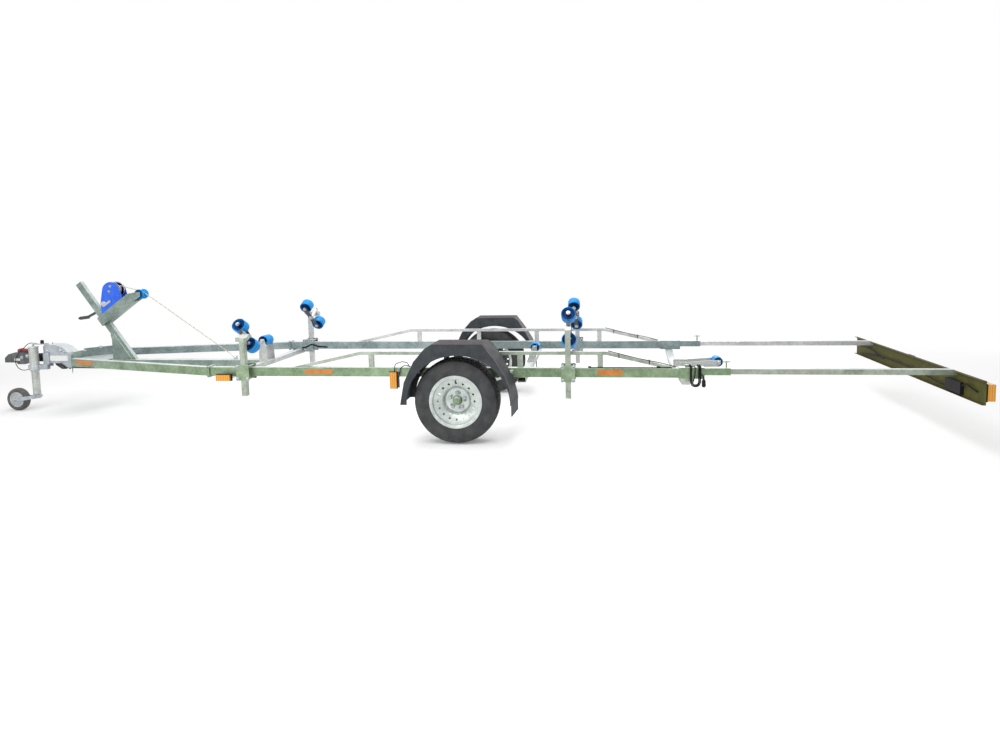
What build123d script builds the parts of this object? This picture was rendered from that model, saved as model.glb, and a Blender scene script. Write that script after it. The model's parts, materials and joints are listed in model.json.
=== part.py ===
from build123d import *
import math
import os

# Boat trailer: one braked axle, a V drawbar, over-bars with a roller cradle, and a draw-out lighting board.
# Millimetres. X is across (left side +X), Y runs rearwards, Z is up. Stations are Y from the axle line.

# ---- wheels and axle ----
TYRE_DIAMETER = 628.0
TYRE_WIDTH = 195.0
RIM_FLANGE_DIAMETER = 390.0
RIM_SEAT_DIAMETER = 356.0
RIM_WIDTH = 152.0
RIM_LIP = 12.0
WHEEL_OUTSET = 158.0
HUB_RADIUS = 60.0
HUB_CAP_RADIUS = 30.0
DRUM_RADIUS = 120.0
DRUM_WIDTH = 56.0
DRUM_GAP = 6.0
SPINDLE_RADIUS = 18.0
VENT_COUNT = 16
VENT_RADIUS = 8.5
VENT_CIRCLE = 135.0
WHEEL_BOLT_CIRCLE = 56.0
WHEEL_BOLT_RADIUS = 8.0
WHEEL_BOLT_COUNT = 5
AXLE_TUBE = 80.0
AXLE_WALL = 6.0
AXLE_AHEAD = 150.0
AXLE_INSET = 35.0
AXLE_PAD = 10.0
AXLE_PAD_LENGTH = 160.0
ARM_THICKNESS = 30.0
ARM_END_RADIUS = 42.0

# ---- chassis rails ----
RAIL_HEIGHT = 70.0
RAIL_WIDTH = 50.0
RAIL_WALL = 3.0
RAIL_TOP = 525.0
RAIL_OUTER = 675.0
RAIL_FRONT = -2020.0
RAIL_REAR = 1785.0

# ---- drawbar ----
FLANGE_THICKNESS = 16.0
FLANGE_WIDTH = 74.0
FLANGE_EDGE = 10.0
HEAD_REAR = -3560.0
HEAD_REAR_HALF = 309.0
HEAD_FRONT = -3775.0
HEAD_FRONT_HALF = 72.0
HEAD_PLATE = 8.0
HEAD_TOP = 556.0
HEAD_TIE = 140.0
NOSE_PLATE = 12.0
NOSE_LOW = 395.0
NOSE_TOP = 540.0
CENTRE_BEAM_WIDTH = 80.0
CENTRE_BEAM_HEIGHT = 70.0
CENTRE_BEAM_WALL = 4.0
CENTRE_BEAM_TOP = 465.0

# ---- cross members ----
CROSS_LENGTH = 60.0
CROSS_HEIGHT = 40.0
CROSS_WALL = 3.0
FRONT_CROSS = RAIL_FRONT + 90.0
MIDDLE_CROSS = 460.0
REAR_CROSS = 1690.0
REAR_CROSS_DROP = 55.0
REAR_CROSS_FLAT = 440.0
WRAP_WALL = 6.0
WRAP_FRONT = 1610.0

# ---- over-bars above the rails ----
OVERBAR_SIZE = 25.0
OVERBAR_TOP = 646.0
OVERBAR_LEVEL_FRONT = -787.0
OVERBAR_LEVEL_REAR = 1087.0
OVERBAR_FOOT_FRONT = -1340.0
OVERBAR_FOOT_REAR = 1605.0
OVERBAR_POST_STATIONS = (-705.0, -113.0, 448.0, 1044.0)
OVERBAR_POST_LENGTH = 40.0
OVERBAR_POST_WIDTH = 20.0

# ---- mudguards: outline as (station, height) from the front foot over the top to the rear foot ----
GUARD_FRONT_LINE = ((-394.0, 305.0), (-362.0, 468.0), (-287.0, 619.0), (-206.0, 710.0), (-151.0, 744.0))
GUARD_OUTER_LINE = ((217.0, 744.0), (262.0, 685.0), (307.0, 624.0), (375.0, 512.0), (404.0, 440.0), (417.0, 305.0))
GUARD_INNER_LINE = ((217.0, 744.0), (259.0, 719.0), (331.0, 601.0), (403.0, 462.0), (431.0, 354.0), (436.0, 305.0))
GUARD_ARCH = (31.0, 376.0, 350.0)
GUARD_GAP = 30.0
GUARD_WIDTH = 236.0
GUARD_WALL = 4.0
GUARD_LUG_STATIONS = (-318.0, 385.0)
GUARD_LUG_LENGTH = 30.0
GUARD_LUG_HEIGHT = 26.0
GUARD_LUG_BELOW = 14.0
FLAP_THICKNESS = 6.0
FLAP_LENGTH = 80.0
FLAP_INSET = 12.0

# ---- side posts: name, side (+1 left), post station, pair station, pair height, pair angle above level ----
SIDE_POSTS = (
    ("front_left", 1, RAIL_FRONT + 300.0, RAIL_FRONT + 244.0, 756.0, 51.0),
    ("front_right", -1, RAIL_FRONT + 184.0, RAIL_FRONT + 279.0, 809.0, 72.0),
    ("rear_left", 1, 808.0, 811.0, 807.0, 88.0),
    ("rear_right", -1, 836.0, 823.0, 796.0, 85.0),
)
POST_SIZE = 40.0
POST_WALL = 3.0
POST_BELOW_RAIL = 150.0
CLAMP_LENGTH = 104.0
CLAMP_HEIGHT = 122.0
CLAMP_PLATE = 8.0
CLAMP_BOLT_RADIUS = 6.0
CLAMP_BOLT_EDGE = 12.0

# ---- rocking roller pairs, each on an inclined pivot ----
ROLLER_DIAMETER = 112.0
ROLLER_WIDTH = 75.0
ROLLER_RIM = 10.0
ROLLER_HUB_RADIUS = 17.0
ROLLER_WEB = 22.0
ROLLER_AXLE_RADIUS = 8.0
ROLLER_TILT = 30.0
ROLLER_INSET = 123.0
ROLLER_SPACING = 210.0
ROLLER_END_GAP = 3.0
RUNNING_GAP = 0.08
ROCKER_PLATE = 8.0
ROCKER_END_RADIUS = 20.0
PIVOT_RADIUS = 10.0
SLEEVE_RADIUS = 18.0
SLEEVE_REACH = 76.0
SLEEVE_ARM = 34.0
SLEEVE_LIFT = 4.0

# ---- keel rollers: station, height, diameter ----
KEEL_FRONT = (FRONT_CROSS + 5.0, 639.0, 90.0)
KEEL_MIDDLE = (500.0, 577.0, 80.0)
KEEL_REAR = (2007.0, 455.0, 80.0)
KEEL_ROLLER_WIDTH = 110.0
KEEL_AXLE_RADIUS = 9.0
KEEL_PLATE = 6.0
KEEL_SIDE_GAP = 5.0
KEEL_CHEEK = 18.0

# ---- winch stand ----
WINCH_POST_SIZE = 58.0
WINCH_POST_WIDTH = 36.0
WINCH_POST_WALL = 4.0
WINCH_POST_FOOT = -3217.0
WINCH_POST_HEAD = (-3706.0, 1170.0)
GUSSET_PLATE = 8.0
GUSSET_FRONT = 187.0
GUSSET_TOP = 700.0
CHANNEL_LOW = (-3470.0, 780.0)
CHANNEL_HIGH = (-3156.0, 1001.0)
CHANNEL_HEIGHT = 86.0
CHANNEL_PLATE = 5.0
CHANNEL_HALF = 46.0
BOW_ROLLER = (-3097.0, 1065.0)
BOW_ROLLER_DIAMETER = 90.0
BOW_ROLLER_WAIST = 40.0
BOW_CHEEK = 20.0
DRUM_CENTRE = (-3353.0, 1108.0)
DRUM_FLANGE_RADIUS = 66.0
DRUM_PACK_RADIUS = 42.0
DRUM_HALF = 26.0
GEAR_CENTRE = (-3366.0, 1092.0)
GEAR_RADIUS = 88.0
PINION_CENTRE = (-3446.0, 980.0)
PINION_RADIUS = 32.0
WINCH_FOOT_SHARES = (0.06, 0.74)
WINCH_FRAME_HALF = 40.0
WINCH_FRAME_PLATE = 4.0
CRANK_SHAFT_RADIUS = 8.0
CRANK_PLANE = 70.0
CRANK_ELBOW = (-3722.0, 846.0)
CRANK_TIP = (-3800.0, 838.0)
CRANK_BAR = 22.0
CRANK_PLATE = 8.0
GRIP_LENGTH = 100.0
GRIP_RADIUS = 14.0
ROPE_RADIUS = 3.5
ROPE_GAP = 0.5
ROPE_CREST = 2.0
ROPE_CREST_ANGLE = 23.0
ROPE_CREST_RUN = 28.0
EYE_STATION = -2221.0
EYE_HEIGHT = 32.0
EYE_THICKNESS = 10.0
HOOK_LENGTH = 46.0
HOOK_RADIUS = 9.0

# ---- coupling, overrun unit and support wheel ----
COUPLING_NOSE = -4500.0
COUPLING_REAR = -4235.0
COUPLING_HALF = 38.0
COUPLING_AXIS = 482.0
CABLE_RADIUS = 3.0
CABLE_LUG = 16.0
SOCKET_RADIUS = 25.3
SOCKET_BACK = 60.0
SOCKET_CENTRE = 462.0
SOCKET_MOUTH = 438.0
HANDLE_HALF = 14.0
SHAFT_RADIUS = 25.0
BELLOWS_RADIUS = 40.0
BELLOWS_RIBS = 5
UNIT_FRONT = -4075.0
UNIT_HALF = 58.0
UNIT_TOP = 612.0
UNIT_FLOOR = 437.0
SUPPORT_X = 92.0
SUPPORT_STATION = -4140.0
OUTER_TUBE_RADIUS = 37.0
OUTER_TUBE_LOW = 372.0
OUTER_TUBE_TOP = 590.0
LEG_RADIUS = 30.0
LEG_WALL = 4.0
LEG_LOW = 152.0
LEG_TOP = 440.0
LEG_GAP = 0.3
CROWN_HEIGHT = 32.0
CROWN_GAP = 2.0
SWIVEL_RADIUS = 13.0
SWIVEL_PLUG = 26.0
FORK_OFFSET = 192.0
FORK_PLATE = 6.0
FORK_END_RADIUS = 18.0
FORK_GAP = 5.0
SUPPORT_WHEEL_DIAMETER = 210.0
SUPPORT_WHEEL_WIDTH = 56.0
SUPPORT_RIM_DIAMETER = 140.0
SUPPORT_AXLE_RADIUS = 9.0
CLAMP_RING = 11.0
CLAMP_RING_LOW = 384.0
CLAMP_RING_HEIGHT = 44.0
TOP_CRANK = 105.0
TOP_CRANK_RISE = 26.0

# ---- lighting board ----
BOARD_STATION = 3480.0
BOARD_HALF = 985.0
BOARD_TOP = 508.0
BOARD_HEIGHT = 160.0
BOARD_DEPTH = 26.0
BOARD_WALL = 3.0
LAMP_LENGTH = 220.0
LAMP_HEIGHT = 118.0
LAMP_DEPTH = 60.0
PLATE_LAMP_HALF = 45.0
PLATE_LAMP_DEPTH = 30.0
PLATE_LAMP_HEIGHT = 24.0
PLATE_SEAT_HALF = 265.0
PLATE_SEAT_HEIGHT = 112.0
PLATE_SEAT_RAISE = 3.0
LIGHT_TUBE = 40.0
LIGHT_TUBE_WALL = 2.5
LIGHT_TUBE_HEIGHT = 500.0
LIGHT_TUBE_FRONT = 1400.0
TUBE_SLEEVE = 52.0
TUBE_SLEEVE_LENGTH = 190.0
TUBE_GAP = 0.4
TEE_BOLT_RADIUS = 5.0
TEE_BOLT_HEIGHT = 48.0
TEE_BAR_LENGTH = 52.0

# ---- lamp cable: a hank laid over the left rail's rear end, from a clip on the rail to its plug ----
HANK_FRONT = 1682.0
HANK_REAR = 1768.0
HANK_LOW = 387.0
HANK_INNER_LOW = 462.0
HANK_GAP = 1.0
HANK_THICKNESS = 15.0
CABLE_CLIP_LENGTH = 26.0
CABLE_CLIP_WIDTH = 16.0
PLUG_RADIUS = 14.0
PLUG_LENGTH = 52.0
PLUG_X = 697.0
PLUG_TOP = 445.0

# ---- side lamps and reflectors ----
MARKER_AHEAD = 150.0
MARKER_LENGTH = 124.0
MARKER_HEIGHT = 54.0
MARKER_DEPTH = 36.0
MARKER_CENTRE = 455.0
MARKER_OUT = 40.0
REFLECTOR_STATION = -524.0
REFLECTOR_LENGTH = 62.0
REFLECTOR_HEIGHT = 132.0
REFLECTOR_CENTRE = 429.0
REFLECTOR_DEPTH = 16.0
REFLECTOR_ARM = 14.0
REFLECTOR_BRACKET = 4.0

# ---- worked out from the sizes above ----
WHEEL_RADIUS = TYRE_DIAMETER / 2
AXLE_HALF = RAIL_OUTER - AXLE_INSET
WHEEL_CENTRE = AXLE_HALF + WHEEL_OUTSET
RAIL_INNER = RAIL_OUTER - RAIL_WIDTH
RAIL_CENTRE = RAIL_OUTER - RAIL_WIDTH / 2
RAIL_LOW = RAIL_TOP - RAIL_HEIGHT
RAIL_MIDDLE = RAIL_TOP - RAIL_HEIGHT / 2
FLANGE_FRONT = RAIL_FRONT - FLANGE_THICKNESS
BEAM_SLOPE = (RAIL_OUTER - HEAD_REAR_HALF) / (FLANGE_FRONT - HEAD_REAR)
CENTRE_BEAM_LOW = CENTRE_BEAM_TOP - CENTRE_BEAM_HEIGHT
REAR_CROSS_LOW = RAIL_LOW - WRAP_WALL - REAR_CROSS_DROP
OVERBAR_LOW = OVERBAR_TOP - OVERBAR_SIZE
AXLE_HEIGHT = RAIL_LOW - AXLE_PAD - AXLE_TUBE / 2
DRUM_INNER = AXLE_HALF + ARM_THICKNESS + DRUM_GAP
GUARD_INNER = RAIL_OUTER + GUARD_GAP
GUARD_OUTER = GUARD_INNER + GUARD_WIDTH
POST_INNER = RAIL_OUTER
POST_OUTER = RAIL_OUTER + POST_SIZE
PAIR_X = RAIL_OUTER - ROLLER_INSET
NOSE_FRONT = HEAD_FRONT - NOSE_PLATE
SUPPORT_WHEEL_STATION = SUPPORT_STATION - FORK_OFFSET
SUPPORT_WHEEL_RADIUS = SUPPORT_WHEEL_DIAMETER / 2
BOARD_REAR = BOARD_STATION + BOARD_DEPTH
PLATE_SEAT_TOP = BOARD_TOP - PLATE_LAMP_HEIGHT - 12
REAR_END = BOARD_REAR + LAMP_DEPTH
MIDDLE_STATION = (COUPLING_NOSE + REAR_END) / 2


# ---- shapes ----
def block(x0, x1, y0, y1, z0, z1):
    """A box between two corners."""
    centre = ((x0 + x1) / 2, (y0 + y1) / 2, (z0 + z1) / 2)
    return Pos(*centre) * Box(abs(x1 - x0), abs(y1 - y0), abs(z1 - z0))


def rod(start, end, radius):
    """A round bar between two points."""
    run = Vector(*end) - Vector(*start)
    plane = Plane(origin=tuple(start), z_dir=run)
    return plane * Cylinder(radius, run.length, align=(Align.CENTER, Align.CENTER, Align.MIN))


def side_profile(points, x0, x1):
    """A (station, height) outline made solid from x0 to x1 across the trailer."""
    outline = make_face(Polyline(*[(x0, y, z) for y, z in points], close=True))
    return extrude(outline, amount=x1 - x0, dir=(1, 0, 0))


def plan_profile(points, z0, z1):
    """An (x, station) outline made solid from z0 to z1."""
    outline = make_face(Polyline(*[(x, y, z0) for x, y in points], close=True))
    return extrude(outline, amount=z1 - z0, dir=(0, 0, 1))


def front_profile(points, y0, y1):
    """An (x, height) outline made solid from y0 to y1 along the trailer."""
    outline = make_face(Polyline(*[(x, y0, z) for x, z in points], close=True))
    return extrude(outline, amount=y1 - y0, dir=(0, 1, 0))


def turned(points):
    """An (x, radius) outline turned about the X axis."""
    return revolve(make_face(Polyline(*[(x, r, 0) for x, r in points], close=True)), Axis.X)


def round_plate(ends, x0, x1):
    """A plate from x0 to x1 wrapping circles given as (station, height, radius)."""
    circles = [Pos(y, z) * Circle(r) for y, z, r in ends]
    outline = make_hull([edge for circle in circles for edge in circle.edges()])
    plane = Plane(origin=(x0, 0, 0), x_dir=(0, 1, 0), z_dir=(1, 0, 0))
    return extrude(plane * outline, amount=x1 - x0)


def group(*shapes):
    """Separate solids kept together in one piece."""
    return Compound([solid for shape in shapes for solid in shape.solids()])


def both_sides(left):
    """The left-hand piece and its mirror image."""
    return group(left, mirror(left, about=Plane.YZ))


def on_side(side, left):
    """The left-hand piece, mirrored when the side is -1."""
    return left if side > 0 else mirror(left, about=Plane.YZ)


def rounded_tube(points, radius):
    """A round tube along straight runs joined by the widest tangent arcs that fit."""
    corners = [Vector(*point) for point in points]
    edges = []
    start = corners[0]
    for before, corner, after in zip(corners, corners[1:], corners[2:]):
        back, ahead = corner - before, after - corner
        setback = 0.45 * min(back.length, ahead.length)
        first = corner - back.normalized() * setback
        last = corner + ahead.normalized() * setback
        edges.append(Line(start, first))
        edges.append(TangentArc(first, last, tangent=back.normalized()))
        start = last
    edges.append(Line(start, corners[-1]))
    path = Wire(edges)
    section = Plane(origin=corners[0], z_dir=corners[1] - corners[0]) * Circle(radius)
    return sweep(section, path=path)


def hollow_roller(diameter, width, hub, bore):
    """A roller about X with a rim, a middle web and a hub, and hollow ends."""
    half, inner, web = width / 2, diameter / 2 - ROLLER_RIM, ROLLER_WEB / 2
    outline = ((-half, bore), (-half, hub), (-web, hub), (-web, inner), (-half, inner),
               (-half, diameter / 2 - 4),
               (4 - half, diameter / 2), (half - 4, diameter / 2), (half, diameter / 2 - 4), (half, inner),
               (web, inner), (web, hub), (half, hub), (half, bore))
    return turned(outline)


# ---- chassis ----
def side_rails():
    wall = RAIL_WALL
    tube = block(RAIL_INNER, RAIL_OUTER, RAIL_FRONT, RAIL_REAR, RAIL_LOW, RAIL_TOP)
    tube -= block(RAIL_INNER + wall, RAIL_OUTER - wall, RAIL_FRONT - 1, RAIL_REAR + 1, RAIL_LOW + wall,
                  RAIL_TOP - wall)
    return both_sides(tube)


def drawbar_beams():
    outline = ((RAIL_OUTER, FLANGE_FRONT), (HEAD_REAR_HALF, HEAD_REAR), (HEAD_REAR_HALF - RAIL_WIDTH,
                                                                         HEAD_REAR),
               (RAIL_INNER, FLANGE_FRONT))
    beam = plan_profile(outline, RAIL_LOW, RAIL_TOP)
    half = FLANGE_WIDTH / 2
    beam += block(RAIL_CENTRE - half, RAIL_CENTRE + half, FLANGE_FRONT, RAIL_FRONT,
                  RAIL_LOW - FLANGE_EDGE, RAIL_TOP + FLANGE_EDGE)
    return both_sides(beam)


def drawbar_head():
    tie_half = HEAD_REAR_HALF - RAIL_WIDTH + BEAM_SLOPE * HEAD_TIE
    tie_top = CENTRE_BEAM_TOP + HEAD_PLATE
    front = ((HEAD_REAR_HALF, HEAD_REAR), (HEAD_FRONT_HALF, HEAD_FRONT), (-HEAD_FRONT_HALF, HEAD_FRONT),
             (-HEAD_REAR_HALF, HEAD_REAR))
    head = plan_profile(front, CENTRE_BEAM_TOP, tie_top)
    inner = HEAD_REAR_HALF - RAIL_WIDTH
    head += plan_profile(((inner, HEAD_REAR), (tie_half, HEAD_REAR + HEAD_TIE),
                          (-tie_half, HEAD_REAR + HEAD_TIE),
                          (-inner, HEAD_REAR)), CENTRE_BEAM_TOP, tie_top)
    run = Vector(HEAD_FRONT_HALF - HEAD_REAR_HALF, HEAD_FRONT - HEAD_REAR).normalized()
    step = Vector(run.Y, -run.X) * HEAD_PLATE
    cheek = plan_profile(((HEAD_REAR_HALF, HEAD_REAR), (HEAD_FRONT_HALF, HEAD_FRONT),
                          (HEAD_FRONT_HALF + step.X, HEAD_FRONT), (HEAD_REAR_HALF + step.X, HEAD_REAR)),
                         CENTRE_BEAM_LOW, HEAD_TOP)
    head += cheek + mirror(cheek, about=Plane.YZ)
    half = HEAD_FRONT_HALF
    return head + block(-half, half, NOSE_FRONT, HEAD_FRONT, NOSE_LOW, NOSE_TOP)


def centre_beam():
    half, wall = CENTRE_BEAM_WIDTH / 2, CENTRE_BEAM_WALL
    rear = FRONT_CROSS - CROSS_LENGTH / 2
    tube = block(-half, half, HEAD_FRONT, rear, CENTRE_BEAM_LOW, CENTRE_BEAM_TOP)
    return tube - block(-half + wall, half - wall, HEAD_FRONT - 1, rear + 1, CENTRE_BEAM_LOW + wall,
                        CENTRE_BEAM_TOP - wall)


def straight_cross(station):
    """A square tube across under both rails."""
    half, wall, low = CROSS_LENGTH / 2, CROSS_WALL, RAIL_LOW - CROSS_HEIGHT
    tube = block(-RAIL_OUTER, RAIL_OUTER, station - half, station + half, low, RAIL_LOW)
    return tube - block(-RAIL_OUTER - 1, RAIL_OUTER + 1, station - half + wall, station + half - wall,
                        low + wall, RAIL_LOW - wall)


def dropped_cross():
    """The rear cross member, bent down in the middle below the keel roller."""
    top, edge, flat = RAIL_LOW - WRAP_WALL, RAIL_OUTER, REAR_CROSS_FLAT
    slim = CROSS_HEIGHT / 2
    outline = ((-edge, top), (-RAIL_INNER, top), (-flat, REAR_CROSS_LOW), (flat, REAR_CROSS_LOW),
               (RAIL_INNER, top),
               (edge, top), (edge, top - slim), (flat + 12, REAR_CROSS_LOW - CROSS_HEIGHT),
               (-flat - 12, REAR_CROSS_LOW - CROSS_HEIGHT), (-edge, top - slim))
    return front_profile(outline, REAR_CROSS - CROSS_LENGTH / 2, REAR_CROSS + CROSS_LENGTH / 2)


def cross_members():
    return group(straight_cross(FRONT_CROSS), straight_cross(MIDDLE_CROSS), dropped_cross())


def rear_sleeves():
    """Wraps round the rail ends, the square sleeves behind them and their tee bolts."""
    wall = WRAP_WALL
    wrap = block(RAIL_INNER - wall, RAIL_OUTER + wall, WRAP_FRONT, RAIL_REAR, RAIL_LOW - wall,
                 RAIL_TOP + wall)
    wrap -= block(RAIL_INNER, RAIL_OUTER, WRAP_FRONT - 1, RAIL_REAR + 1, RAIL_LOW, RAIL_TOP)
    half, bore, rear = TUBE_SLEEVE / 2, LIGHT_TUBE / 2 + TUBE_GAP, RAIL_REAR + TUBE_SLEEVE_LENGTH
    z = LIGHT_TUBE_HEIGHT
    sleeve = block(RAIL_INNER - wall, RAIL_OUTER + wall, RAIL_REAR, RAIL_REAR + wall, RAIL_LOW - wall,
                   RAIL_TOP + wall)
    sleeve += block(RAIL_CENTRE - half, RAIL_CENTRE + half, RAIL_REAR, rear, z - half, z + half)
    sleeve -= block(RAIL_CENTRE - bore, RAIL_CENTRE + bore, RAIL_REAR - 1, rear + 1, z - bore, z + bore)
    base, y = z + half, rear - TEE_BAR_LENGTH / 2
    tee = rod((RAIL_CENTRE, y, base), (RAIL_CENTRE, y, base + TEE_BOLT_HEIGHT), TEE_BOLT_RADIUS)
    bar = base + TEE_BOLT_HEIGHT - TEE_BOLT_RADIUS
    tee += rod((RAIL_CENTRE, y - TEE_BAR_LENGTH / 2, bar), (RAIL_CENTRE, y + TEE_BAR_LENGTH / 2, bar),
               TEE_BOLT_RADIUS - 1)
    half = CABLE_CLIP_WIDTH / 2
    clip = block(RAIL_CENTRE - half, RAIL_CENTRE + half, HANK_FRONT - CABLE_CLIP_LENGTH, HANK_FRONT,
                 RAIL_TOP + wall, RAIL_TOP + wall + HANK_GAP + HANK_THICKNESS)
    left = wrap + sleeve + tee
    return group(left + clip, mirror(left, about=Plane.YZ))


# ---- over-bars ----
def overbars():
    """Level bars above the rails, with their sloping ends and short posts."""
    half = OVERBAR_SIZE / 2
    bar = block(RAIL_CENTRE - half, RAIL_CENTRE + half, OVERBAR_LEVEL_FRONT, OVERBAR_LEVEL_REAR,
                OVERBAR_LOW, OVERBAR_TOP)
    for foot, bend, way in ((OVERBAR_FOOT_FRONT, OVERBAR_LEVEL_FRONT, 1), (OVERBAR_FOOT_REAR,
                                                                           OVERBAR_LEVEL_REAR, -1)):
        cut = abs(bend - foot) * OVERBAR_SIZE / (OVERBAR_TOP - RAIL_TOP)
        outline = ((foot, RAIL_TOP), (foot + way * cut, RAIL_TOP), (bend, OVERBAR_LOW), (bend, OVERBAR_TOP))
        bar += side_profile(outline, RAIL_CENTRE - half, RAIL_CENTRE + half)
    wide, long = OVERBAR_POST_WIDTH / 2, OVERBAR_POST_LENGTH / 2
    for station in OVERBAR_POST_STATIONS:
        bar += block(RAIL_CENTRE - wide, RAIL_CENTRE + wide, station - long, station + long, RAIL_TOP,
                     OVERBAR_LOW)
    return both_sides(bar)


# ---- axle ----
def axle_tube():
    half, inner, z = AXLE_TUBE / 2, AXLE_TUBE / 2 - AXLE_WALL, AXLE_HEIGHT
    tube = block(-AXLE_HALF, AXLE_HALF, -AXLE_AHEAD - half, -AXLE_AHEAD + half, z - half, z + half)
    tube -= block(-AXLE_HALF - 1, AXLE_HALF + 1, -AXLE_AHEAD - inner, -AXLE_AHEAD + inner, z - inner,
                  z + inner)
    long = AXLE_PAD_LENGTH / 2
    for side in (1, -1):
        tube += block(side * RAIL_INNER, side * (AXLE_HALF - 1), -AXLE_AHEAD - long, -AXLE_AHEAD + long,
                      RAIL_LOW - AXLE_PAD,
                      RAIL_LOW)
    return tube


def swing_arms():
    x0, x1 = AXLE_HALF, AXLE_HALF + ARM_THICKNESS
    arm = round_plate(((-AXLE_AHEAD, AXLE_HEIGHT, ARM_END_RADIUS), (0, WHEEL_RADIUS, ARM_END_RADIUS)), x0,
                      x1)
    return both_sides(arm + rod((x1 - 1, 0, WHEEL_RADIUS), (WHEEL_CENTRE + 36, 0, WHEEL_RADIUS),
                                SPINDLE_RADIUS))


# ---- wheels ----
def tyre(side):
    half, out, seat, bead = TYRE_WIDTH / 2, WHEEL_RADIUS, RIM_SEAT_DIAMETER / 2, RIM_WIDTH / 2
    side_height = out - seat
    outline = []
    for way in (-1, 1):
        wall = [(way * bead, seat), (way * (bead + 3), seat + 0.17 * side_height),
                (way * half, seat + 0.42 * side_height),
                (way * (half - 1), seat + 0.62 * side_height), (way * (half - 12), out - 18),
                (way * (half - 30), out - 4)]
        outline += wall if way < 0 else [(0, out)] + wall[::-1]
    return on_side(side, Pos(WHEEL_CENTRE, 0, WHEEL_RADIUS) * turned(outline))


def rim(side):
    seat, flange, half = RIM_SEAT_DIAMETER / 2, RIM_FLANGE_DIAMETER / 2, RIM_WIDTH / 2
    lip = half + RIM_LIP
    fit = seat - 0.3
    barrel = turned(((-lip, flange - 6), (-lip, flange), (-half - 5, flange), (-half - 4, fit),
                     (half + 4, fit),
                     (half + 5, flange), (lip, flange), (lip, flange - 6), (half + 9, fit - 6),
                     (half - 8, fit - 9),
                     (8 - half, fit - 9), (-half - 9, fit - 6)))
    dish = turned(((10, HUB_CAP_RADIUS + 6), (18, HUB_CAP_RADIUS + 6), (18, 88), (46, 108), (64, 146),
                   (66, fit - 8),
                   (58, fit - 8), (56, 150), (40, 114), (10, 94)))
    wheel = barrel + dish
    for step in range(VENT_COUNT):
        hole = Pos(50, VENT_CIRCLE, 0) * Rot(0, 90, 0) * Cylinder(VENT_RADIUS, 60)
        wheel -= Rot(360 / VENT_COUNT * step, 0, 0) * hole
    return on_side(side, Pos(WHEEL_CENTRE, 0, WHEEL_RADIUS) * wheel)


def hub(side):
    """Brake drum, hub, wheel bolts and cap, bored for the spindle."""
    inner = DRUM_INNER - WHEEL_CENTRE
    bore = SPINDLE_RADIUS + RUNNING_GAP
    body = turned(((inner, bore), (inner, DRUM_RADIUS), (inner + DRUM_WIDTH, DRUM_RADIUS),
                   (inner + DRUM_WIDTH + 10, HUB_RADIUS + 14), (10, HUB_RADIUS + 14),
                   (10, HUB_CAP_RADIUS + 4),
                   (44, HUB_CAP_RADIUS), (52, HUB_CAP_RADIUS - 8), (52, 0), (40, 0), (40, bore)))
    for step in range(WHEEL_BOLT_COUNT):
        bolt = rod((18, WHEEL_BOLT_CIRCLE, 0), (32, WHEEL_BOLT_CIRCLE, 0), WHEEL_BOLT_RADIUS)
        stud = rod((10, WHEEL_BOLT_CIRCLE, 0), (18, WHEEL_BOLT_CIRCLE, 0), WHEEL_BOLT_RADIUS)
        body += Rot(360 / WHEEL_BOLT_COUNT * step, 0, 0) * (bolt + stud)
    return on_side(side, Pos(WHEEL_CENTRE, 0, WHEEL_RADIUS) * body)


def rim_on_hub(side):
    """The wheel disc with its bolt holes cut where the hub's bolts pass."""
    wheel = rim(side)
    x = side * WHEEL_CENTRE
    for step in range(WHEEL_BOLT_COUNT):
        turn = math.radians(360 / WHEEL_BOLT_COUNT * step)
        y, z = WHEEL_BOLT_CIRCLE * math.cos(turn), WHEEL_RADIUS + WHEEL_BOLT_CIRCLE * math.sin(turn)
        wheel -= rod((x, y, z), (x + side * 30, y, z), WHEEL_BOLT_RADIUS)
    return wheel


# ---- mudguards ----
def guard_body(inset):
    """The guard's solid between its inner and outer outlines, this far in from its skin."""
    ends = []
    for x, line in ((GUARD_INNER + inset, GUARD_INNER_LINE), (GUARD_OUTER - inset, GUARD_OUTER_LINE)):
        wire = Polyline(*[(x, y, z) for y, z in GUARD_FRONT_LINE + line], close=True)
        face = make_face(wire)
        ends.append(offset(face, amount=-inset, kind=Kind.INTERSECTION) if inset else face)
    return loft(ends, ruled=True)


def mudguards():
    """Hollow guards, open below and cut out round the tyre, with a flap at the rear."""
    hollow = guard_body(GUARD_WALL)
    shell = guard_body(0) - hollow - Pos(0, 0, -2 * GUARD_WALL) * hollow
    station, half, high = GUARD_ARCH
    arch = make_face(Plane((GUARD_INNER - 1, station, WHEEL_RADIUS), x_dir=(0, 1, 0), z_dir=(1, 0, 0))
                     * Ellipse(half, high).edge())
    shell -= extrude(arch, amount=GUARD_WIDTH + 2, dir=(1, 0, 0))
    inner, outer = GUARD_INNER_LINE[-1][0], GUARD_OUTER_LINE[-1][0]
    step = (inner - outer) * FLAP_INSET / GUARD_WIDTH
    low, near, far = GUARD_FRONT_LINE[0][1], GUARD_OUTER - FLAP_INSET, GUARD_INNER + FLAP_INSET
    rear, end, thick = inner - step, outer + step, FLAP_THICKNESS
    corners = ((far, rear), (near, end), (near, end - thick), (far, rear - thick))
    flap = make_face(Polyline(*[(x, y, low - FLAP_LENGTH) for x, y in corners], close=True))
    return both_sides(shell + extrude(flap, amount=FLAP_LENGTH + 20, dir=(0, 0, 1)))


def mudguard_lugs():
    top = RAIL_TOP - GUARD_LUG_BELOW
    half = GUARD_LUG_LENGTH / 2
    return both_sides(group(*[block(RAIL_OUTER, GUARD_INNER, y - half, y + half, top - GUARD_LUG_HEIGHT,
                                    top)
                              for y in GUARD_LUG_STATIONS]))


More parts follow.
